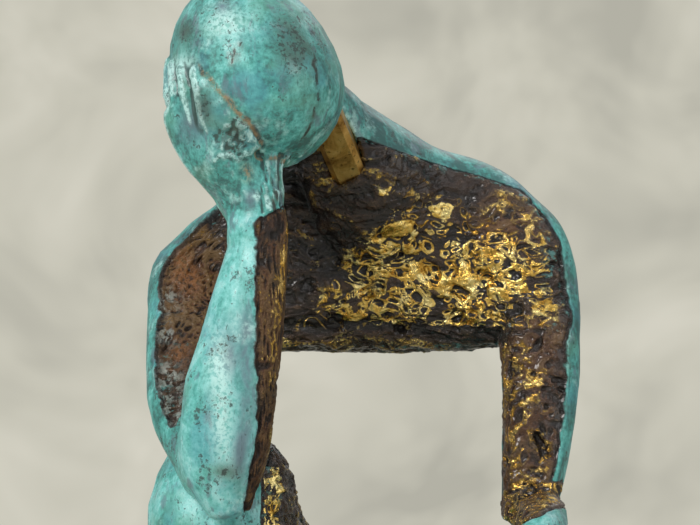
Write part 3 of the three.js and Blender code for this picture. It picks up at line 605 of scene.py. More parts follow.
def torn_sides(skin):
    """About how many millimetres each point is inside the torn side; below zero on the smooth skin."""
    points, normals = skin.points, skin.normals
    aside, back, height = points.T
    wrist = soft_step(height, 150, 214)
    elbow = soft_step(height, 158, 150)
    nape = soft_step(height - 242 + 0.3 * np.clip(aside, 0, 45), -2.5, 2.5)
    under_head = soft_step(aside, 2, -8) * soft_step(aside, -34, -28) * soft_step(height, 240, 234)
    under_head *= soft_step(normals[:, 1], 0.5, 0.2)
    streak = clouds(points * (1, 1, 0.12), 2.2, 13, 2)
    heel = soft_step(aside, -34, -30) * soft_step(back, -30, -35) * soft_step(height, 234, 226)
    front = normals @ (0, -0.99, -0.14) - 0.32 - 0.45 * soft_step(aside, 44, 61)
    arm_front = normals @ (0.45, -0.89, 0) - 0.30
    right_side = soft_step(aside, -34, -42)
    front = (1 - right_side) * np.maximum(front, -normals[:, 2] - 0.60) + right_side * arm_front
    ragged = 0.3 * clouds(points, 6, 15, 2) + 0.12 * clouds(points, 2.4, 16, 2)
    v_end = 0.2 * (aside + 61 + 0.42 * (height - 165.5)) + 0.6 * ragged
    left_elbow = 1.2 * soft_step(height, 141, 137) * soft_step(normals[:, 1], 0.0, -0.4) - 0.6
    round_end = np.where(height > 114, 0.25 * (np.hypot(aside - 56, height - 123.4) - 8.7), -1)
    behind = soft_step(normals[:, 1], 0.1, 0.5)
    knee_front = 0.2 * (aside + 30.5) + soft_step(back, -30, -10)
    rules = {
        "chest_shell": front - 1.3 * nape + 1.2 * under_head,
        "right_upper_arm": np.minimum(arm_front + ragged, v_end) - 0.9 * elbow,
        "right_forearm": normals[:, 0] - 0.62 + 0.54 * wrist + 0.15 * streak * wrist,
        "right_hand": normals[:, 0] - 0.1 + 0.2 * streak - 0.25 * (height - 217) - 2 * (1 - heel),
        "left_upper_arm": np.maximum(normals @ (-0.6, -0.8, 0) - 0.52 + 0.5 * ragged, left_elbow - behind),
        "left_forearm": np.maximum(normals @ (-0.66, -0.25, -0.7) - 0.42, round_end - behind),
        "pelvis": normals @ (0, -0.55, 0.83) - 0.5 - 1.2 * soft_step(np.abs(aside), 12, 24),
        "right_thigh": np.minimum(normals @ (0.98, -0.1, -0.1) - 0.36, knee_front),
        "left_thigh": normals @ (-0.98, -0.1, -0.1) - 0.48,
        "right_shin": normals @ (0.95, 0.3, 0) - 0.55,
        "left_shin": normals @ (-0.95, 0.3, 0) - 0.55,
        "seat_block": 1.0,
    }
    total = sum(skin.share(name) * np.clip(rules.get(name, -1.0), -1, 1) for name in skin.names)
    return TORN_SCALE * (total + 0.13 * clouds(points, 9, 11, 2) + 0.05 * clouds(points, 2.2, 12, 2))


for skin, rounds in zip(SKINS, CALM_ROUNDS):
    skin.normals = unit(spread(normals_of(skin.points, skin.faces), skin.edges, rounds))
    skin.torn = torn_sides(skin)
    print("torn share of the skin with", skin.names[0], round(float((skin.torn > 0).mean()), 3))

# %% [markdown]
# Torn metal needs a finer mesh than the smooth skin. Instead of one fine mesh everywhere, only the
# torn quads and their edges are cut in four, which keeps the whole figure light.

# %% Finer mesh on the torn faces
FINE_FROM = -3.2


def refined(points, faces, fields, chosen):
    """Cuts the chosen quads in four; their neighbours take the new edge points as extra corners."""
    sides = np.stack([faces, np.roll(faces, -1, axis=1)], axis=2)
    keys = np.sort(sides, axis=2)
    keys = keys[:, :, 0] * len(points) + keys[:, :, 1]
    cut_keys = np.unique(keys[chosen])
    middles = len(points) + np.arange(len(cut_keys))
    hearts = len(points) + len(cut_keys) + np.arange(chosen.sum())
    first, second = cut_keys // len(points), cut_keys % len(points)

    def grown(values):
        on_edges, inside = (values[first] + values[second]) / 2, values[faces[chosen]].mean(axis=1)
        return np.concatenate([values, on_edges, inside])

    spot = np.clip(np.searchsorted(cut_keys, keys), 0, len(cut_keys) - 1)
    found = cut_keys[spot] == keys
    middle = middles[spot]
    corner, after = faces[chosen], middle[chosen]
    before = np.roll(after, 1, axis=1)
    small = np.stack([corner, after, np.repeat(hearts[:, None], 4, axis=1), before], axis=2).reshape(-1, 4)
    plain = ~chosen & ~found.any(axis=1)
    rings = []
    for row in np.flatnonzero(~chosen & found.any(axis=1)):
        ring = []
        for side in range(4):
            ring.append(int(faces[row, side]))
            if found[row, side]:
                ring.append(int(middle[row, side]))
        rings.append(ring)
    return grown(points), np.concatenate([faces[plain], small]), rings, [grown(field) for field in fields]


def stands_out(skin, rounds):
    """Millimetres that each point stands above (or below) the smoothed form around it."""
    return ((skin.points - spread(skin.points, skin.edges, rounds)) * skin.normals).sum(axis=1)


def refine_torn(skin):
    """Makes the mesh finer wherever the metal is torn, and carries along what is known."""
    hollow = stands_out(skin, 70)
    deep = spread(soft_step(skin.torn, -0.5, 0.5), skin.edges, 150)
    chosen = (skin.torn[skin.faces] > FINE_FROM).any(axis=1)
    fields = [skin.shares, skin.normals, skin.torn, hollow, deep]
    skin.points, skin.faces, skin.others, fields = refined(skin.points, skin.faces, fields, chosen)
    skin.shares, skin.normals, skin.torn, skin.hollow, skin.deep = fields
    skin.edges = edges_of(skin.faces, skin.others)


for skin in SKINS:
    refine_torn(skin)
    print("the skin with", skin.names[0], "now has", len(skin.points), "points")

# %% [markdown]
# ## Tearing the metal
# The torn faces lie a little below the skin, and along the skin's edge runs a narrow trench under a
# slightly raised lip. The chest is foam: burst bubbles of three sizes with raised rims, folds and
# wrinkles between them, and a few smooth plates that are polished to gold. The forearm, the hand and
# the recess beside the upper arm have long torn strands instead. Each torn point keeps its rank in
# height, its bubble's rim, and how gold, red and glossy the metal is there.

# %% Tear
CHEST_EDGE = 181.5
PLINTH_TOP = 28.4
GOLD_SPOTS = [((31, 199), (17, 6), 0.50), ((11, 213), (6, 5), 0.62), ((22, 220), (8, 4), 0.46)]
GOLD_SPOTS += [((-5, 189), (9, 4), 0.52), ((3, 203), (10, 5), 0.34), ((10, 227.5), (8, 2.5), 0.30)]
GOLD_SPOTS += [((46, 205), (10, 14), 0.44), ((14, 194), (12, 5), 0.32)]
GOLD_PLATES = [((9.5, 214.2), (4.4, 2.8)), ((13.6, 210), (3.4, 4.0)), ((22.5, 220.5), (4.6, 2.2))]
GOLD_PLATES += [((-4.5, 188.5), (5.5, 2.2)), ((41, 195.5), (4.2, 2.4)), ((30, 199.5), (5.5, 2.0))]
COPPER_SPOTS = [((43, 216), (11, 10)), ((51, 182), (9, 7))]
GOLD = {"right_forearm": 0.15, "left_upper_arm": 0.07, "left_forearm": 0.07}
GOLD |= {"right_thigh": 0.75, "seat_block": 0.1}
RED = {"left_upper_arm": 0.5, "left_forearm": 0.5, "right_forearm": 0.65, "chest_shell": 0.16}
OTHER_GOLD, OTHER_RED = 0.2, 0.2


def drifted(spot, size, seed, reach=0.25):
    """The same points, carried aside by a share of `size`, as if the metal had flowed."""
    aside = np.stack([clouds(spot, size, seed + 5 * axis, 2) for axis in range(3)], axis=1)
    return spot + reach * size * aside


def burst_bubbles(spot, size, seed, share):
    """Foam in which a share of the bubbles has burst: how deep each point lies in one, and its rim."""
    wall, number = bubble_walls(spot, size, seed)
    wall = wall - size * (0.11 + 0.11 * clouds(spot, 2.4 * size, seed + 9, 2))
    burst = soft_step(number, share + 0.02, share - 0.02)
    depth = 0.5 + 0.5 * number / share
    return burst * depth * soft_step(wall, 0, 0.2 * size), burst * bell(wall, 0.07 * size)


def foam(spot, calm):
    """Plates of metal between burst bubbles, in millimetres; where it is calm, mostly wrinkles."""
    flowing = drifted(spot, 8, 71, 0.4) * (0.8, 1, 1.15)
    large, large_rims = burst_bubbles(drifted(flowing, 3, 75, 0.3), 5.6, 41, 0.55)
    small, small_rims = burst_bubbles(drifted(flowing, 2, 79, 0.3), 2.7, 51, 0.70)
    tiny, _ = burst_bubbles(flowing, 1.6, 55, 0.5)
    wrinkles = clouds(flowing * (0.5, 1, 1.3), 3.2, 61, 4)
    folds = 1 - np.abs(clouds(flowing * (0.35, 1, 1.1), 6, 65, 3)) * 2.5
    swell = clouds(flowing, 11, 25, 2)
    crumple = clouds(flowing, 1.7, 69, 2)
    bubbly = 0.3 * swell - 1.4 * large - 0.8 * small + 0.25 * large_rims + 0.15 * small_rims
    bubbly += 0.5 * wrinkles + 0.25 * crumple - 0.45 * tiny
    quiet = 0.3 * swell + 0.9 * wrinkles + 0.6 * folds - 0.45 * small + 0.3 * crumple - 0.3 * tiny
    rims = np.maximum(large_rims, 0.85 * small_rims)
    return (1 - calm) * (bubbly + 0.2 * folds) + calm * quiet, (1 - 0.7 * calm) * rims


def fibres(spot):
    """Long torn strands along an upright limb, in millimetres."""
    upright = drifted(spot, 9, 81) * (1, 1, 0.15)
    strand, _ = bubble_walls(upright, 1.3, 91)
    relief = 0.6 * clouds(upright * 0.7, 3.2, 95, 3) + 0.45 * bell(strand, 0.3)
    relief -= 0.45 * soft_step(strand, 0.1, 0.7) + 0.4 * soft_step(clouds(spot, 5, 99, 2), 0.25, 0.45)
    return relief + 0.15 * clouds(spot, 0.9, 62, 2)


def rank_of(values):
    """For each value the share of values below it."""
    return np.argsort(np.argsort(values)) / max(len(values) - 1, 1)


def lower_lip(spot):
    """The rolled lip along the lower edge of the chest and the groove above it, in millimetres."""
    level = spot[:, 2] - CHEST_EDGE - 2.6 * clouds(spot * (0.6, 1, 0), 9, 121, 3)
    strong = soft_step(clouds(spot * (1, 1, 0), 14, 125, 2), -0.35, 0.3)
    return strong * (0.8 * bell(level, 1.4) - 0.9 * bell(level - 4.5, 1.9))


def front_spot(spot, centre, reach):
    """1 at a spot of the front view, falling softly to 0 around it."""
    return near_spot(spot[:, [0, 2]], centre, reach)


def plate_share(spot):
    """1 in the middle of the smooth gold plates of the chest, 0 beside them."""
    wander = spot + np.outer(clouds(spot, 5, 161, 3), (3.2, 0, 2.2))
    found = np.max([front_spot(wander, *plate) for plate in GOLD_PLATES], axis=0)
    return soft_step(found, 0.3, 0.6) * soft_step(clouds(spot, 2.6, 165, 2), -0.42, -0.15)


def gold_share(spot):
    """How much of the chest's relief is burnished: most in a few spots, little between them."""
    slanted = spot[:, 0] - 0.8 * (spot[:, 2] - 190)
    band = soft_step(spot[:, 2], 183, 187) * soft_step(spot[:, 2], 219, 210) * soft_step(slanted, -22, -10)
    share = 0.03 + 0.14 * band
    for centre, reach, strength in GOLD_SPOTS:
        share = np.maximum(share, strength * front_spot(spot, centre, reach))
    return share * (0.55 + 0.45 * soft_step(clouds(spot * (0.7, 1, 1.3), 6, 171, 2), -0.2, 0.12))


def tear(skin):
    """Moves the torn points and keeps the numbers that the finish needs."""
    near = skin.torn > -2.5
    points = spread(skin.points, skin.edges, 2, 0.5 * near)
    spot, depth_in, normals = points[near], skin.torn[near], skin.normals[near]
    share = {name: skin.share(name)[near] for name in skin.names}
    none = np.zeros(len(spot))
    chest, forearm = share.get("chest_shell", none), share.get("right_forearm", none)
    thigh = share.get("right_thigh", none)
    recess = (chest + share.get("right_upper_arm", none)) * soft_step(spot[:, 0], -38, -46)
    middle = front_spot(spot, (19, 200), (35, 19))
    rough = soft_step(depth_in, -0.35, 0.35)
    far_knee = thigh * np.maximum(soft_step(normals[:, 0], 0.74, 0.86), soft_step(spot[:, 0], -23, -20.5))
    knee_top = thigh * soft_step(spot[:, 2], 140, 146)
    calm = np.clip(chest * (1 - 1.3 * middle) + far_knee, 0, 1)
    streaky = np.clip(forearm + 0.75 * recess + share.get("right_hand", none), 0, 1)
    tall_pits = share.get("left_upper_arm", none) + share.get("left_forearm", none)
    bubbly, rims = foam(spot - tall_pits[:, None] * (0, 0, 0.4) * (spot - (0, 0, 200)), calm)
    bubbly += chest * lower_lip(spot)
    plate = chest * plate_share(spot)
    bubbly = bubbly * (1 - 0.75 * plate) + 0.7 * plate
    slanted = spot @ np.array([[0.62, 0, 0.78], [0, 1, 0], [-0.78, 0, 0.62]])
    upright_strands = fibres(spot)
    strands = upright_strands + recess * (1.8 * fibres(slanted) - upright_strands)
    height = (1 - streaky) * bubbly + streaky * strands

    trench = bell(depth_in - 0.9, 0.8)
    lip = bell(depth_in + 1.2, 0.9) * (1 - rough)
    sunk = 2.6 * recess * soft_step(depth_in, 0, 3.5) + (0.6 + 0.7 * recess) * trench
    above_plinth = soft_step(spot[:, 2], PLINTH_TOP, PLINTH_TOP + 2.6)
    points[near] += normals * (above_plinth * (rough * (height - sunk) + 0.2 * lip))[:, None]

    risen = bubbly + np.minimum(skin.hollow[near], 0.3) - 0.3 * trench
    order = (1 - streaky) * rank_of(risen) + streaky * rank_of(strands)
    gold = GOLD | {"chest_shell": gold_share(spot)}
    burnish = sum(part * gold.get(name, OTHER_GOLD) for name, part in share.items())
    burnish = np.maximum(burnish * np.clip(1 - far_knee - knee_top, 0, 1), 0.95 * plate)
    edge_of_chest = chest * soft_step(spot[:, 2], 188, 183) * soft_step(clouds(spot, 9, 141, 2), 0.5, 0.05)
    burnish *= 1 - np.maximum(0.8 * edge_of_chest, chest * soft_step(skin.deep[near], 0.96, 0.84))
    burnish *= (1 - 0.85 * recess) * soft_step(depth_in, 1.5 - 1.2 * forearm, 5.5 - 4 * forearm)
    recess_red = recess * soft_step(spot[:, 2], 160, 192) * soft_step(clouds(spot, 11, 151, 2), -0.5, 0.1)
    copper = 0.7 * chest * np.max([front_spot(spot, *place) for place in COPPER_SPOTS], axis=0)
    red = sum(part * RED.get(name, OTHER_RED) for name, part in share.items())
    red = np.maximum(red, np.maximum(recess_red, copper))
    found = {"torn": rough, "height": order, "rim": rims * (1 - streaky)}
    found |= {"burnish": burnish, "gloss": 1 - 0.8 * streaky, "red": red}
    skin.numbers = {name: np.zeros(len(points)) for name in found}
    for name, value in found.items():
        skin.numbers[name][near] = value
    skin.numbers["inside"] = np.clip(skin.torn, -12, 25)
    skin.points = points


for skin in SKINS:
    tear(skin)
    print("torn points of the skin with", skin.names[0], int((skin.numbers["torn"] > 0.5).sum()))

# %% [markdown]
# ## Marks on the skin
# A few marks are given one by one, as the maker's tools left them: a rough pocket between the palm and the
# brazed line, a raised crease where hand and wrist were joined, grooves along the heel of the hand, and
# a slight unevenness everywhere, because cast and filed bronze is never quite true. The scratches of
# the head are too fine for the mesh, so they only become colour, in the next step.

# %% Marks
POCKET = (-37.5, 240.5, 4.6, 5)
CREASE_START, CREASE_LENGTH = -43, 13.4
SCRATCHES = [[(-37.2, 265.5), (-38, 261.5)], [(-35.3, 267.6), (-35.6, 266.4)]]
SCRATCHES += [[(-15.8, 266.5), (-14.1, 259.2), (-13.8, 250.5), (-16.1, 243.2), (-19.1, 238.3)]]


def blot(points, normals, x, z, wide, tall, reach=-35):
    """1 in the middle of an oval mark on the figure's front, 0 outside it or behind its reach."""
    oval = front_spot(points, (x, z), (wide, tall))
    return oval * soft_step(-normals[:, 1], 0.0, 0.4) * (points[:, 1] < reach)


def crease_line(points, normals):
    """1 on the crease at the wrist, 0 beside it."""
    along = np.clip((points[:, 0] - CREASE_START) / CREASE_LENGTH, 0, 1)
    lift = 0.9 * np.sin(9 * along) + 0.5 * np.sin(23 * along)
    aside = points[:, 0] - (CREASE_START + CREASE_LENGTH * along)
    gap = np.hypot(aside, points[:, 2] - (233.9 + 2.8 * along + lift))
    return bell(gap, 0.7) * soft_step(-normals[:, 1], 0.0, 0.3) * (points[:, 1] < -35)


def line_gap(points, corners):
    """How far each point is from a line through some corners, seen from the front, in millimetres."""
    gap = np.full(len(points), 1e9)
    for start, after in zip(corners, corners[1:]):
        run = np.subtract(after, start)
        offset = points[:, [0, 2]] - start
        along = np.clip(offset @ run / (run @ run), 0, 1)
        gap = np.minimum(gap, np.linalg.norm(offset - along[:, None] * run, axis=1))
    return gap


def scratched(points, normals):
    """Up to 1.5 on the few dark scratches of the head, 0 beside them."""
    wander = points + 0.8 * clouds(points, 3, 341, 2)[:, None]
    gap = np.min([line_gap(wander, corners) for corners in SCRATCHES], axis=0)
    broken = soft_step(clouds(points, 2.6, 345, 2), -0.25, 0.15)
    line = 1.3 * broken * bell(gap, 0.36) + 0.25 * bell(gap, 1.5)
    return line * soft_step(-normals[:, 1], 0.0, 0.3) * (points[:, 1] < -25)


def crumpled(points):
    """The crumbly relief of the pocket, about -1 to 1."""
    return clouds(points, 2.1, 311, 3)


def marked(skin):
    """The points with the marks of the skin and its slight unevenness."""
    points, normals = skin.points, skin.normals
    aside, back, level = points.T
    height = 0.13 * clouds(points, 9, 301, 2)
    height += blot(points, normals, *POCKET) * (2.2 * crumpled(points) - 0.5)
    height += 0.4 * crease_line(points, normals)
    heel = soft_step(aside, -31, -29) * soft_step(level, 216, 220) * soft_step(level, 240, 234)
    heel *= soft_step(-normals[:, 1], -0.2, 0.3) * (back < -35)
    height += heel * 1.2 * clouds(points * (1, 1, 0.13), 1.9, 321, 2)
    return points + normals * (soft_step(skin.torn, 0.5, -1.5) * height)[:, None]


for skin in SKINS:
    skin.points = marked(skin)
print("skins marked")

# %% [markdown]
# ## Numbers for the finish
# The skin is painted pale on its ridges as a highlight and dark in its grooves as shade. So each point
# keeps how much it stands out from its surroundings. It also keeps how light the patina of its casting is,
# how close it is to the brazed line of the hand, and a few spots: pale ones, some painted as highlights
# and some chalky, stained ones, darker hollows, grey-violet blotches with a band of painted shade, and
# rusty ones.

# %% Ridges, tones and spots
TONES = {"head": 0.42, "right_hand": 0.35, "right_forearm": 0.68, "chest_shell": 0.24}
TONES |= {"right_upper_arm": 0.44, "left_upper_arm": 0.30, "left_forearm": 0.56}
TONES |= {"left_hand": 0.5, "right_thigh": 0.56}
OTHER_TONE = 0.48
# Pale spots painted as highlights: on the head's upper left, on the finger tips, and two down the middle
# of the forearm.
CHALKY = [(-40, 273, 6, 4.5), (-53, 261, 4.5, 3.5), (-41, 160, 2.8, 12), (-42, 177, 3, 8)]
STAINED = [(-23, 270, 5, 7), (-19, 264, 4, 6), (-52, 271, 3, 5), (-46, 249, 3, 6)]
DARK_HOLLOWS = [(-37.5, 241.5, 5, 4), (-40, 145, 5, 2.5)]
# Grey-violet blotches; the last two make a band of painted shade down the forearm's right edge.
BRUISED = [(-36, 150, 2.4, 9), (-39, 178, 3, 7), (-33, 223, 2, 3), (-41, 278, 2, 3), (-50, 244, 4, 6)]
BRUISED += [(-33.8, 184, 2.2, 10), (-33.6, 165, 2.4, 12)]
HEEL = (-26, 222, 3.4, 9)
RUSTY = (-34.2, 230.3, 1.7, 2.3)
MOULDY = [(-59.5, 193, 4, 3.5, 20), (-59, 183, 3, 3, 20), (-58, 171, 3.5, 4.5, 20), (-56, 162, 5, 7, 20)]
ORANGE = [(-55.5, 203, 4, 8, 20), (-52, 199, 3, 4, 20), (-55, 178, 3.5, 4.5, 20)]


def finish_numbers(skin):
    """Adds the numbers for ridges, tone, brazing and spots."""
    numbers, points, normals = skin.numbers, skin.points, skin.normals
    hand, head = skin.share("right_hand"), skin.share("head")

    def spots(*places):
        return np.clip(sum(blot(points, normals, *place) for place in places), 0, 1)

    # How far a point stands out drives a painted highlight on ridges and painted shade in grooves,
    # stronger on the hand.
    ridge = np.clip(stands_out(skin, 12), -1, 1)
    ridge = np.minimum(ridge, 1 - soft_step(numbers["inside"], -6, -2))
    numbers["ridge"] = ridge * (1 + 0.7 * hand)
    numbers["tone"] = sum(skin.share(name) * TONES.get(name, OTHER_TONE) for name in skin.names)
    numbers["braze"] = soft_step(np.minimum(hand, head), 0.14, 0.40) * soft_step(points[:, 0], -49, -46)
    numbers["bruise"] = spots(*BRUISED)
    numbers["rust"] = np.maximum(spots(RUSTY), spots(*ORANGE) * numbers["torn"])
    pocket, crumple = spots(POCKET), crumpled(points)
    # Pale spots painted as highlights join the chalky crease, the chalky tops of the pocket and the mould
    # in one number.
    chalk = np.maximum(spots(*CHALKY), 0.9 * crease_line(points, normals))
    chalk = np.maximum(chalk, pocket * soft_step(crumple, 0.05, 0.35))
    numbers["chalk"] = np.maximum(chalk, spots(*MOULDY) * numbers["torn"])
    stain = spots(*STAINED) + spots(*DARK_HOLLOWS) + scratched(points, normals)
    strands = soft_step(clouds(points * (1, 1, 0.14), 1.7, 331, 2), -0.1, 0.25)
    stain = np.maximum(np.clip(stain, 0, 1.5), 1.4 * strands * spots(HEEL))
    numbers["stain"] = np.maximum(stain, 1.3 * pocket * soft_step(crumple, 0.0, -0.3))


for skin in SKINS:
    finish_numbers(skin)
print("brazed points", int((upper.numbers["braze"] > 0.5).sum()))

# %% [markdown]
# ## Verdigris skin
# The skin is a waxed turquoise patina: broad clouds of teal and pale cyan, a chalky bloom, grey-violet
# blotches, dark specks in clusters and a few scratches. Ridges and a few spots are painted pale as
# highlights, and grooves and a band down the forearm's right edge are painted dark as shade. The group
# gives its colour, roughness and a little height, and each material adds its own share of them.

# %% Verdigris group
TEAL = [(0.12, (0.038, 0.140, 0.130)), (0.36, (0.072, 0.340, 0.302)), (0.54, (0.128, 0.498, 0.452))]
TEAL += [(0.74, (0.225, 0.635, 0.605)), (0.94, (0.350, 0.745, 0.720))]
SKIN_NUMBERS = ["Ridge", "Tone", "Chalk", "Stain", "Bruise"]
verdigris, nodes, given, outside = new_group(
    "verdigris", [*SKIN_NUMBERS, "Edge"], ["Color", "Roughness", "Height"]
)
point, stain = given["Point"], given["Stain"]
tall = nodes.stretched(point, 1, 1, 0.45)
broad = nodes.clouds(point, 24, 4, 0.6, 0.8)
medium = nodes.clouds(tall, 7, 5, 0.65, 0.6)
fine = nodes.clouds(point, 1.5, 4, 0.65)
tone = nodes.times_plus(broad, 1.0, -0.5)
tone = nodes.times_plus(medium, 1.5, tone)
tone = nodes.times_plus(fine, 1.1, tone)
tone = nodes.math("ADD", nodes.math("SUBTRACT", tone, 1.3), given["Tone"])
colour = nodes.ramp(tone, TEAL)
blue = nodes.step(nodes.clouds(nodes.stretched(point, 1, 1.1, 0.9), 16, 3), 0.50, 0.66, 0, 0.5)
colour = nodes.mixed(blue, colour, (0.085, 0.33, 0.40, 1))
green = nodes.step(nodes.clouds(nodes.stretched(point, 0.9, 1, 1.1), 19, 3), 0.52, 0.68, 0, 0.5)
colour = nodes.mixed(green, colour, (0.135, 0.37, 0.27, 1))
violet = nodes.step(nodes.clouds(nodes.stretched(tall, 1.2, 1, 1), 7, 5, 0.65), 0.56, 0.66, 0, 0.7)
# Grey-violet blotches, with a band of painted shade down the forearm's right edge.
bruise = nodes.times(given["Bruise"], nodes.step(medium, 0.34, 0.56, 0.4, 0.95))
colour = nodes.mixed(nodes.larger(violet, bruise), colour, (0.125, 0.195, 0.235, 1))
bloom = nodes.step(nodes.clouds(nodes.stretched(point, 0.9, 1.2, 0.8), 11, 5, 0.68), 0.54, 0.70, 0, 0.6)
# Ridges are painted pale as a highlight; with them go the chalky bloom and the pale spots, some of which
# are painted highlights.
worn = nodes.step(given["Ridge"], 0.10, 0.35, 0, 0.9)
pale = nodes.larger(nodes.larger(bloom, given["Chalk"]), worn)
pale = nodes.times(pale, nodes.step(fine, 0.38, 0.56, 0.25, 1))
colour = nodes.mixed(pale, colour, (0.51, 0.81, 0.77, 1))
# Grooves are painted dark as shade.
groove = nodes.step(given["Ridge"], -0.06, -0.26, 0, 0.9)
colour = nodes.mixed(groove, colour, (0.022, 0.062, 0.060, 1))
cluster = nodes.step(nodes.clouds(nodes.stretched(point, 1.1, 0.9, 1), 12, 3), 0.50, 0.66)
dirt = nodes.clouds(point, 1.5, 5, 0.72)
speck = nodes.step(nodes.times_plus(nodes.larger(cluster, stain), 0.14, dirt), 0.64, 0.72)
olive = nodes.times(stain, nodes.step(medium, 0.36, 0.56, 0.25, 0.7))
colour = nodes.mixed(olive, colour, (0.066, 0.082, 0.050, 1))
crack = nodes.step(nodes.times_plus(fine, 1.2, stain), 1.40, 1.90, 0, 0.65)
colour = nodes.mixed(crack, colour, (0.022, 0.046, 0.042, 1))
freckle = nodes.step(nodes.clouds(tall, 0.9, 3, 0.6), 0.58, 0.68, 0, 0.55)
freckle = nodes.times(freckle, nodes.step(broad, 0.40, 0.56))
colour = nodes.mixed(freckle, colour, (0.035, 0.11, 0.105, 1))
colour = nodes.mixed(nodes.times(speck, 0.82), colour, (0.030, 0.050, 0.042, 1))
scratch = nodes.step(nodes.clouds(nodes.stretched(point, 1.6, 1.2, 0.16), 0.9, 2, 0.5), 0.66, 0.72)
scratch = nodes.times(scratch, nodes.step(medium, 0.5, 0.6))
colour = nodes.mixed(nodes.times(scratch, 0.7), colour, (0.03, 0.06, 0.055, 1))
rim_dark = nodes.step(nodes.times_plus(fine, 1.6, given["Edge"]), 0.3, 1.5, 0.95, 0)
colour = nodes.mixed(rim_dark, colour, (0.016, 0.020, 0.019, 1))
roughness = nodes.times_plus(fine, 0.12, nodes.mixed_value(pale, 0.38, 0.54))
bumps = nodes.times_plus(fine, 0.5, nodes.times(medium, 0.9))
height = nodes.times_plus(nodes.larger(speck, scratch), -0.8, bumps)
nodes.fill(outside, {"Color": colour, "Roughness": roughness, "Height": height})
print("verdigris group has", len(verdigris.nodes), "nodes")

# %% [markdown]
# ## Torn bronze
# Torn metal goes by height. The hollows keep black and red-brown oxide, the slopes are brown with an
# ochre tinge, and the tops and some bubbles' rims are burnished to bright gold. The height comes from
# the mesh, and fine noise breaks it up below the size of the mesh's own faces. Bare oxide is waxed and
# glossy on the chest, and matt on the torn strands.

# %% Torn bronze group
BLACKS = [(0.36, (0.004, 0.003, 0.0025)), (0.52, (0.012, 0.008, 0.0065)), (0.66, (0.038, 0.023, 0.016))]
GOLDS = [(0.36, (0.46, 0.25, 0.04)), (0.48, (0.88, 0.60, 0.15)), (0.60, (0.98, 0.82, 0.36))]
METAL_NUMBERS = ["Rim", "Burnish", "Red", "Gloss"]
torn_bronze, nodes, given, outside = new_group(
    "torn_bronze", ["Rank", *METAL_NUMBERS], ["Color", "Roughness", "Metallic", "Coat", "Height"]
)
point, red, burnish = given["Point"], given["Red"], given["Burnish"]
grain = nodes.clouds(point, 0.8, 4, 0.65)
patch = nodes.clouds(point, 9, 4, 0.6, 0.4)
drift = nodes.clouds(nodes.stretched(point, 0.8, 1, 1.3), 3.2, 5, 0.68)
pinholes = nodes.place("TexVoronoi", {"Vector": point, "Scale": 1 / 1.3}).outputs["Distance"]
pinhole = nodes.step(pinholes, 0.40, 0.16)
grainy = nodes.times_plus(grain, 0.3, -0.15)
top = nodes.times_plus(pinhole, -0.12, nodes.math("ADD", given["Rank"], grainy))
oxide = nodes.ramp(drift, BLACKS)
rust_share = nodes.times(nodes.step(patch, 0.36, 0.58), red)
oxide = nodes.mixed(rust_share, oxide, (0.130, 0.050, 0.016, 1))
ochre = nodes.times(nodes.step(drift, 0.50, 0.68), red)
oxide = nodes.mixed(nodes.times(ochre, 0.8), oxide, (0.25, 0.135, 0.044, 1))
oxide = nodes.mixed(nodes.step(top, 0.42, 0.16, 0, 0.85), oxide, (0.009, 0.0065, 0.005, 1))
above = nodes.math("SUBTRACT", top, nodes.math("SUBTRACT", 1.0, burnish))
slope = nodes.step(nodes.times_plus(red, 0.28, above), -0.30, 0.0)
browning = nodes.times(slope, nodes.times_plus(red, 0.85, 0.06))
brown = nodes.mixed(browning, oxide, (0.150, 0.086, 0.032, 1))
lit_rim = nodes.step(nodes.math("ADD", given["Rim"], grainy), 0.28, 0.52)
rubbed = nodes.step(nodes.times_plus(drift, 0.3, burnish), 0.205, 0.235)
gold = nodes.larger(nodes.step(above, -0.05, 0.05), nodes.times(lit_rim, rubbed))
bright = nodes.ramp(nodes.clouds(nodes.stretched(point, 1, 1.1, 1), 5, 4, 0.6, 0.4), GOLDS)
bright = nodes.mixed(nodes.times(red, 1.1), bright, (0.50, 0.28, 0.06, 1))
dull = nodes.mixed_value(given["Gloss"], 0.62, 0.21)
polish = nodes.mixed_value(patch, 0.14, 0.36)
wax = nodes.times(given["Gloss"], 0.5)
graininess = nodes.times(grain, nodes.mixed_value(gold, 3.4, 0.5))
relief = nodes.times_plus(drift, nodes.mixed_value(gold, 6.5, 2.6), graininess)
nodes.fill(outside, {"Color": nodes.mixed(gold, brown, bright)})
nodes.fill(outside, {"Roughness": nodes.mixed_value(gold, dull, polish)})
nodes.fill(outside, {"Metallic": nodes.mixed_value(gold, 0.35, 1.0)})
nodes.fill(outside, {"Coat": nodes.mixed_value(gold, wax, 0.0)})
nodes.fill(outside, {"Height": nodes.times_plus(pinhole, -1.2, relief)})
print("torn bronze group has", len(torn_bronze.nodes), "nodes")

# %% [markdown]
# ## Two-tone bronze
# One material carries both finishes. The mesh says how torn each point is, and that share mixes
# colour, roughness, metal and height, so the border is as ragged as the shape's own border. Along that
# border the torn metal has turquoise flecks and is painted near-black as shade in the trench, and in the
# recess it is rusty and mouldy in places. The brazed line of the hand comes on top of the skin, as dull
# orange-brown.


# %% Two-tone material
def numbers_for(nodes, titles):
    """The mesh's numbers for the sockets of the same name."""
    return {title: nodes.number(title.lower()) for title in titles}


def torn_metal(nodes, point, rank):
    """The outputs of the torn bronze group."""
    values = {"Point": point, "Rank": rank} | numbers_for(nodes, METAL_NUMBERS)
    return nodes.place("Group", values, node_tree=torn_bronze).outputs


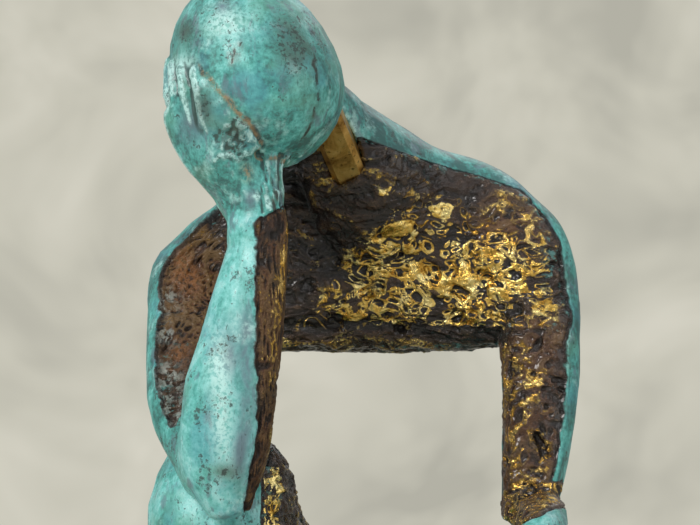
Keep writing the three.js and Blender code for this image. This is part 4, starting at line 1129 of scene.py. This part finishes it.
two_tone, nodes, shader = new_material("two_tone_bronze")
point = nodes.millimetres()
torn, depth_in, rust = (nodes.number(name) for name in ("torn", "inside", "rust"))
skin_values = {"Point": point, "Edge": nodes.times(depth_in, -1.0)} | numbers_for(nodes, SKIN_NUMBERS)
patina = nodes.place("Group", skin_values, node_tree=verdigris).outputs
metal = torn_metal(nodes, point, nodes.number("height"))
crumbs = nodes.step(nodes.clouds(point, 1.5, 4, 0.65), 0.38, 0.56)
braze = nodes.times(nodes.larger(nodes.number("braze"), rust), crumbs)
skin_colour = nodes.mixed(nodes.times(braze, 0.85), patina["Color"], (0.31, 0.205, 0.092, 1))
fringe = nodes.times(nodes.step(depth_in, 0.8, 1.8), nodes.step(depth_in, 7, 3))
fringe = nodes.times(fringe, nodes.step(nodes.number("red"), 0.40, 0.28))
fleck = nodes.step(nodes.clouds(nodes.stretched(point, 0.6, 1, 1), 2.2, 4, 0.62), 0.54, 0.62, 0, 0.8)
fleck = nodes.times(fleck, fringe)
mould = nodes.step(nodes.clouds(nodes.stretched(point, 1, 1, 0.6), 2.2, 5, 0.70), 0.46, 0.58)
mould = nodes.times(mould, nodes.number("chalk"))
rusty = nodes.step(nodes.clouds(nodes.stretched(point, 1, 1, 0.7), 1.4, 5, 0.72), 0.40, 0.54)
rusty = nodes.times(rusty, rust)
metal_colour = nodes.mixed(fleck, metal["Color"], (0.075, 0.24, 0.225, 1))
metal_colour = nodes.mixed(nodes.times(rusty, 0.8), metal_colour, (0.24, 0.088, 0.016, 1))
# The torn metal is painted near-black along the trench at the skin's edge, as painted shade.
metal_colour = nodes.mixed(nodes.step(depth_in, 2.0, 0.5, 0, 0.75), metal_colour, (0.010, 0.009, 0.009, 1))
metal_colour = nodes.mixed(nodes.times(mould, 0.8), metal_colour, (0.36, 0.40, 0.36, 1))
grown = nodes.larger(rusty, nodes.larger(fleck, mould))
bare = nodes.times(torn, nodes.math("SUBTRACT", 1.0, grown))
height = nodes.times_plus(braze, 1.5, patina["Height"])
height = nodes.mixed_value(torn, height, metal["Height"])
nodes.fill(shader, {"Base Color": nodes.mixed(torn, skin_colour, metal_colour)})
nodes.fill(shader, {"Roughness": nodes.mixed_value(torn, patina["Roughness"], metal["Roughness"])})
nodes.fill(shader, {"Metallic": nodes.times(bare, metal["Metallic"])})
nodes.fill(shader, {"Coat Weight": nodes.mixed_value(torn, 0.12, metal["Coat"]), "Coat Roughness": 0.12})
nodes.fill(shader, {"Normal": nodes.bump(height, 0.6, 0.0003)})
print("two-tone material has", len(nodes.tree.nodes), "nodes")

# %% [markdown]
# The seat block is torn metal all over, so its material uses the torn bronze group alone. A little
# turquoise has settled in the hollows between its lumps.

# %% Rough bronze of the seat
rough_bronze, nodes, shader = new_material("rough_bronze")
point = nodes.millimetres()
rank = nodes.number("height")
metal = torn_metal(nodes, point, rank)
settled = nodes.times(nodes.step(nodes.clouds(point, 14, 4), 0.5, 0.66), nodes.step(rank, 0.6, 0.25))
colour = nodes.mixed(nodes.times(settled, 0.6), metal["Color"], (0.07, 0.23, 0.20, 1))
nodes.fill(shader, {"Base Color": colour, "Roughness": metal["Roughness"]})
nodes.fill(shader, {"Metallic": metal["Metallic"], "Coat Weight": metal["Coat"]})
nodes.fill(shader, {"Normal": nodes.bump(metal["Height"], 0.6, 0.0004)})
print("rough bronze has", len(nodes.tree.nodes), "nodes")

# %% [markdown]
# ## Cutting the castings apart
# Now the skin is cut into its castings again, each one a closed piece: along a cut, the ring is
# closed by a shallow cone that goes into the piece, so that two neighbours never touch inside. The
# normals are taken from the whole skin, so the cut can't be seen where the patina runs across it.

# %% Cut and make the pieces
CONE_DEPTH = 1.5


def open_loops(rings):
    """The open sides of a mesh, one list for each loop that they form."""
    sides = dict.fromkeys(side for ring in rings for side in zip(ring, ring[1:] + ring[:1]))
    open_sides = [(start, end) for start, end in sides if (end, start) not in sides]
    loop_of = {spot: spot for side in open_sides for spot in side}

    def root(spot):
        while loop_of[spot] != spot:
            loop_of[spot] = loop_of[loop_of[spot]]
            spot = loop_of[spot]
        return spot

    for start, end in open_sides:
        loop_of[root(start)] = root(end)
    loops = {}
    for start, end in open_sides:
        loops.setdefault(root(start), []).append((start, end))
    return list(loops.values())


def piece_from(name, points, faces, normals, numbers):
    """A closed piece from some faces of the skin."""
    used = np.unique(np.concatenate([np.ravel(face) for face in faces]))
    order = np.full(len(points), -1)
    order[used] = np.arange(len(used))
    rings = [order[np.asarray(face)].tolist() for face in faces]
    spots, facing = points[used], normals[used]
    values = {key: value[used] for key, value in numbers.items()}
    middle = spots.mean(axis=0)
    for sides in open_loops(rings):
        starts = [start for start, _ in sides]
        heart = spots[starts].mean(axis=0)
        inward = middle - heart
        inward = inward / max(np.linalg.norm(inward), TINY)
        tip = len(spots)
        spots = np.vstack([spots, heart + inward * CONE_DEPTH])
        facing = np.vstack([facing, -inward])
        values = {key: np.append(value, value[starts].mean()) for key, value in values.items()}
        rings += [[end, start, tip] for start, end in sides]
    mesh = bpy.data.meshes.new(name)
    mesh.from_pydata((spots / TO_MM).tolist(), [], rings)
    mesh.polygons.foreach_set("use_smooth", [True] * len(mesh.polygons))
    mesh.normals_split_custom_set_from_vertices(facing.tolist())
    for key, value in values.items():
        layer = mesh.attributes.new(key, "FLOAT", "POINT")
        layer.data.foreach_set("value", value.astype(np.float32))
    mesh.update()
    return new_object(name, mesh)


def cut_apart(skin, material):
    """Makes one piece for each casting and hides the CAD solid that it stands for."""
    normals = normals_of(skin.points, skin.faces, skin.others)
    face_owner = skin.shares[skin.faces].mean(axis=1).argmax(axis=1)
    other_owner = [skin.shares[ring].mean(axis=0).argmax() for ring in skin.others]
    for number, name in enumerate(skin.names):
        faces = list(skin.faces[face_owner == number])
        faces += [ring for ring, owner in zip(skin.others, other_owner) if owner == number]
        piece = piece_from(name + "_cast", skin.points, faces, normals, skin.numbers)
        piece.data.materials.append(material)
        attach(piece, "root")
        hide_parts(name)
        print(piece.name, len(piece.data.polygons), "faces")


cut_apart(upper, two_tone)
cut_apart(legs, two_tone)
cut_apart(seat, rough_bronze)

# %% [markdown]
# ## Finishes of the pieces that keep their CAD shape
# The neck peg, the dowels, the plinth and the fixings are plain turned, sawn or moulded pieces, so
# their CAD solids stay and only get a finish. The peg is polished brass that has gone brown in clouds,
# with fine lines along its length from the draw-filing.

# %% Polished brass
AMBERS = [(0.34, (0.20, 0.095, 0.022)), (0.50, (0.58, 0.33, 0.085)), (0.66, (0.80, 0.53, 0.17))]
brass, nodes, shader = new_material("polished_brass")
point = nodes.millimetres()
lines = nodes.clouds(nodes.stretched(point, 2.2, 0.35, 0.35), 1.0, 3, 0.6)
spot = nodes.step(nodes.clouds(point, 1.6, 4, 0.65), 0.58, 0.68)
colour = nodes.ramp(nodes.clouds(point, 7, 5, 0.65, 0.6), AMBERS)
colour = nodes.mixed(nodes.times(spot, 0.8), colour, (0.035, 0.02, 0.008, 1))
nodes.fill(shader, {"Base Color": colour, "Roughness": nodes.times_plus(lines, 0.3, 0.26)})
nodes.fill(shader, {"Metallic": 1.0, "Normal": nodes.bump(lines, 0.35, 0.0002)})
print("polished brass has", len(nodes.tree.nodes), "nodes")

# %% [markdown]
# The plinth is black stone: nearly black clouds, thin pale veins where a stretched noise passes its
# middle value, and a polish that is a little duller in places.

# %% Black stone
STONE_TONES = [(0.3, (0.008, 0.008, 0.009)), (0.7, (0.026, 0.026, 0.028))]
stone, nodes, shader = new_material("black_stone")
point = nodes.millimetres()
cloud = nodes.clouds(point, 30, 6, 0.6, 0.5)
vein_field = nodes.clouds(nodes.stretched(point, 0.5, 1.0, 1.2), 42, 7, 0.62, 1.2)
off_middle = nodes.math("ABSOLUTE", nodes.math("SUBTRACT", vein_field, 0.5))
vein = nodes.times(nodes.step(off_middle, 0.010, 0.0), nodes.step(cloud, 0.42, 0.62))
colour = nodes.mixed(nodes.times(vein, 0.55), nodes.ramp(cloud, STONE_TONES), (0.32, 0.31, 0.29, 1))
roughness = nodes.times_plus(nodes.clouds(point, 8, 4), 0.18, 0.1)
nodes.fill(shader, {"Base Color": colour, "Roughness": roughness})
nodes.fill(shader, {"Coat Weight": 0.3, "Coat Roughness": 0.08})
print("black stone has", len(nodes.tree.nodes), "nodes")

# %% [markdown]
# The fixings under the plinth are bright steel with turning marks, and the feet are moulded rubber
# with a chalky bloom.

# %% Steel and rubber
STEEL_TONES = [(0.35, (0.33, 0.34, 0.36)), (0.65, (0.56, 0.57, 0.59))]
RUBBER_TONES = [(0.35, (0.012, 0.012, 0.012)), (0.7, (0.045, 0.045, 0.043))]
steel, nodes, shader = new_material("steel")
point = nodes.millimetres()
turning = nodes.clouds(nodes.stretched(point, 0.3, 0.3, 4), 1.0, 3, 0.6)
colour = nodes.ramp(nodes.clouds(point, 3, 4, 0.6), STEEL_TONES)
roughness = nodes.times_plus(turning, 0.25, 0.2)
nodes.fill(shader, {"Base Color": colour, "Roughness": roughness, "Metallic": 1.0})

rubber, nodes, shader = new_material("rubber")
bloom = nodes.clouds(nodes.millimetres(), 2.5, 5, 0.65)
roughness = nodes.times_plus(bloom, 0.2, 0.65)
nodes.fill(shader, {"Base Color": nodes.ramp(bloom, RUBBER_TONES), "Roughness": roughness})

finish_of = {"neck_peg": brass, "plinth": stone}
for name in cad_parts:
    if name.endswith("_dowel"):
        finish_of[name] = brass
    elif name.endswith(("_stud", "_washer", "_nut")):
        finish_of[name] = steel
    elif name.startswith("rubber_foot"):
        finish_of[name] = rubber
for name, material in finish_of.items():
    for material_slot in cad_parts[name].material_slots:
        material_slot.material = material
print("finished", len(finish_of), "pieces that keep their CAD shape")
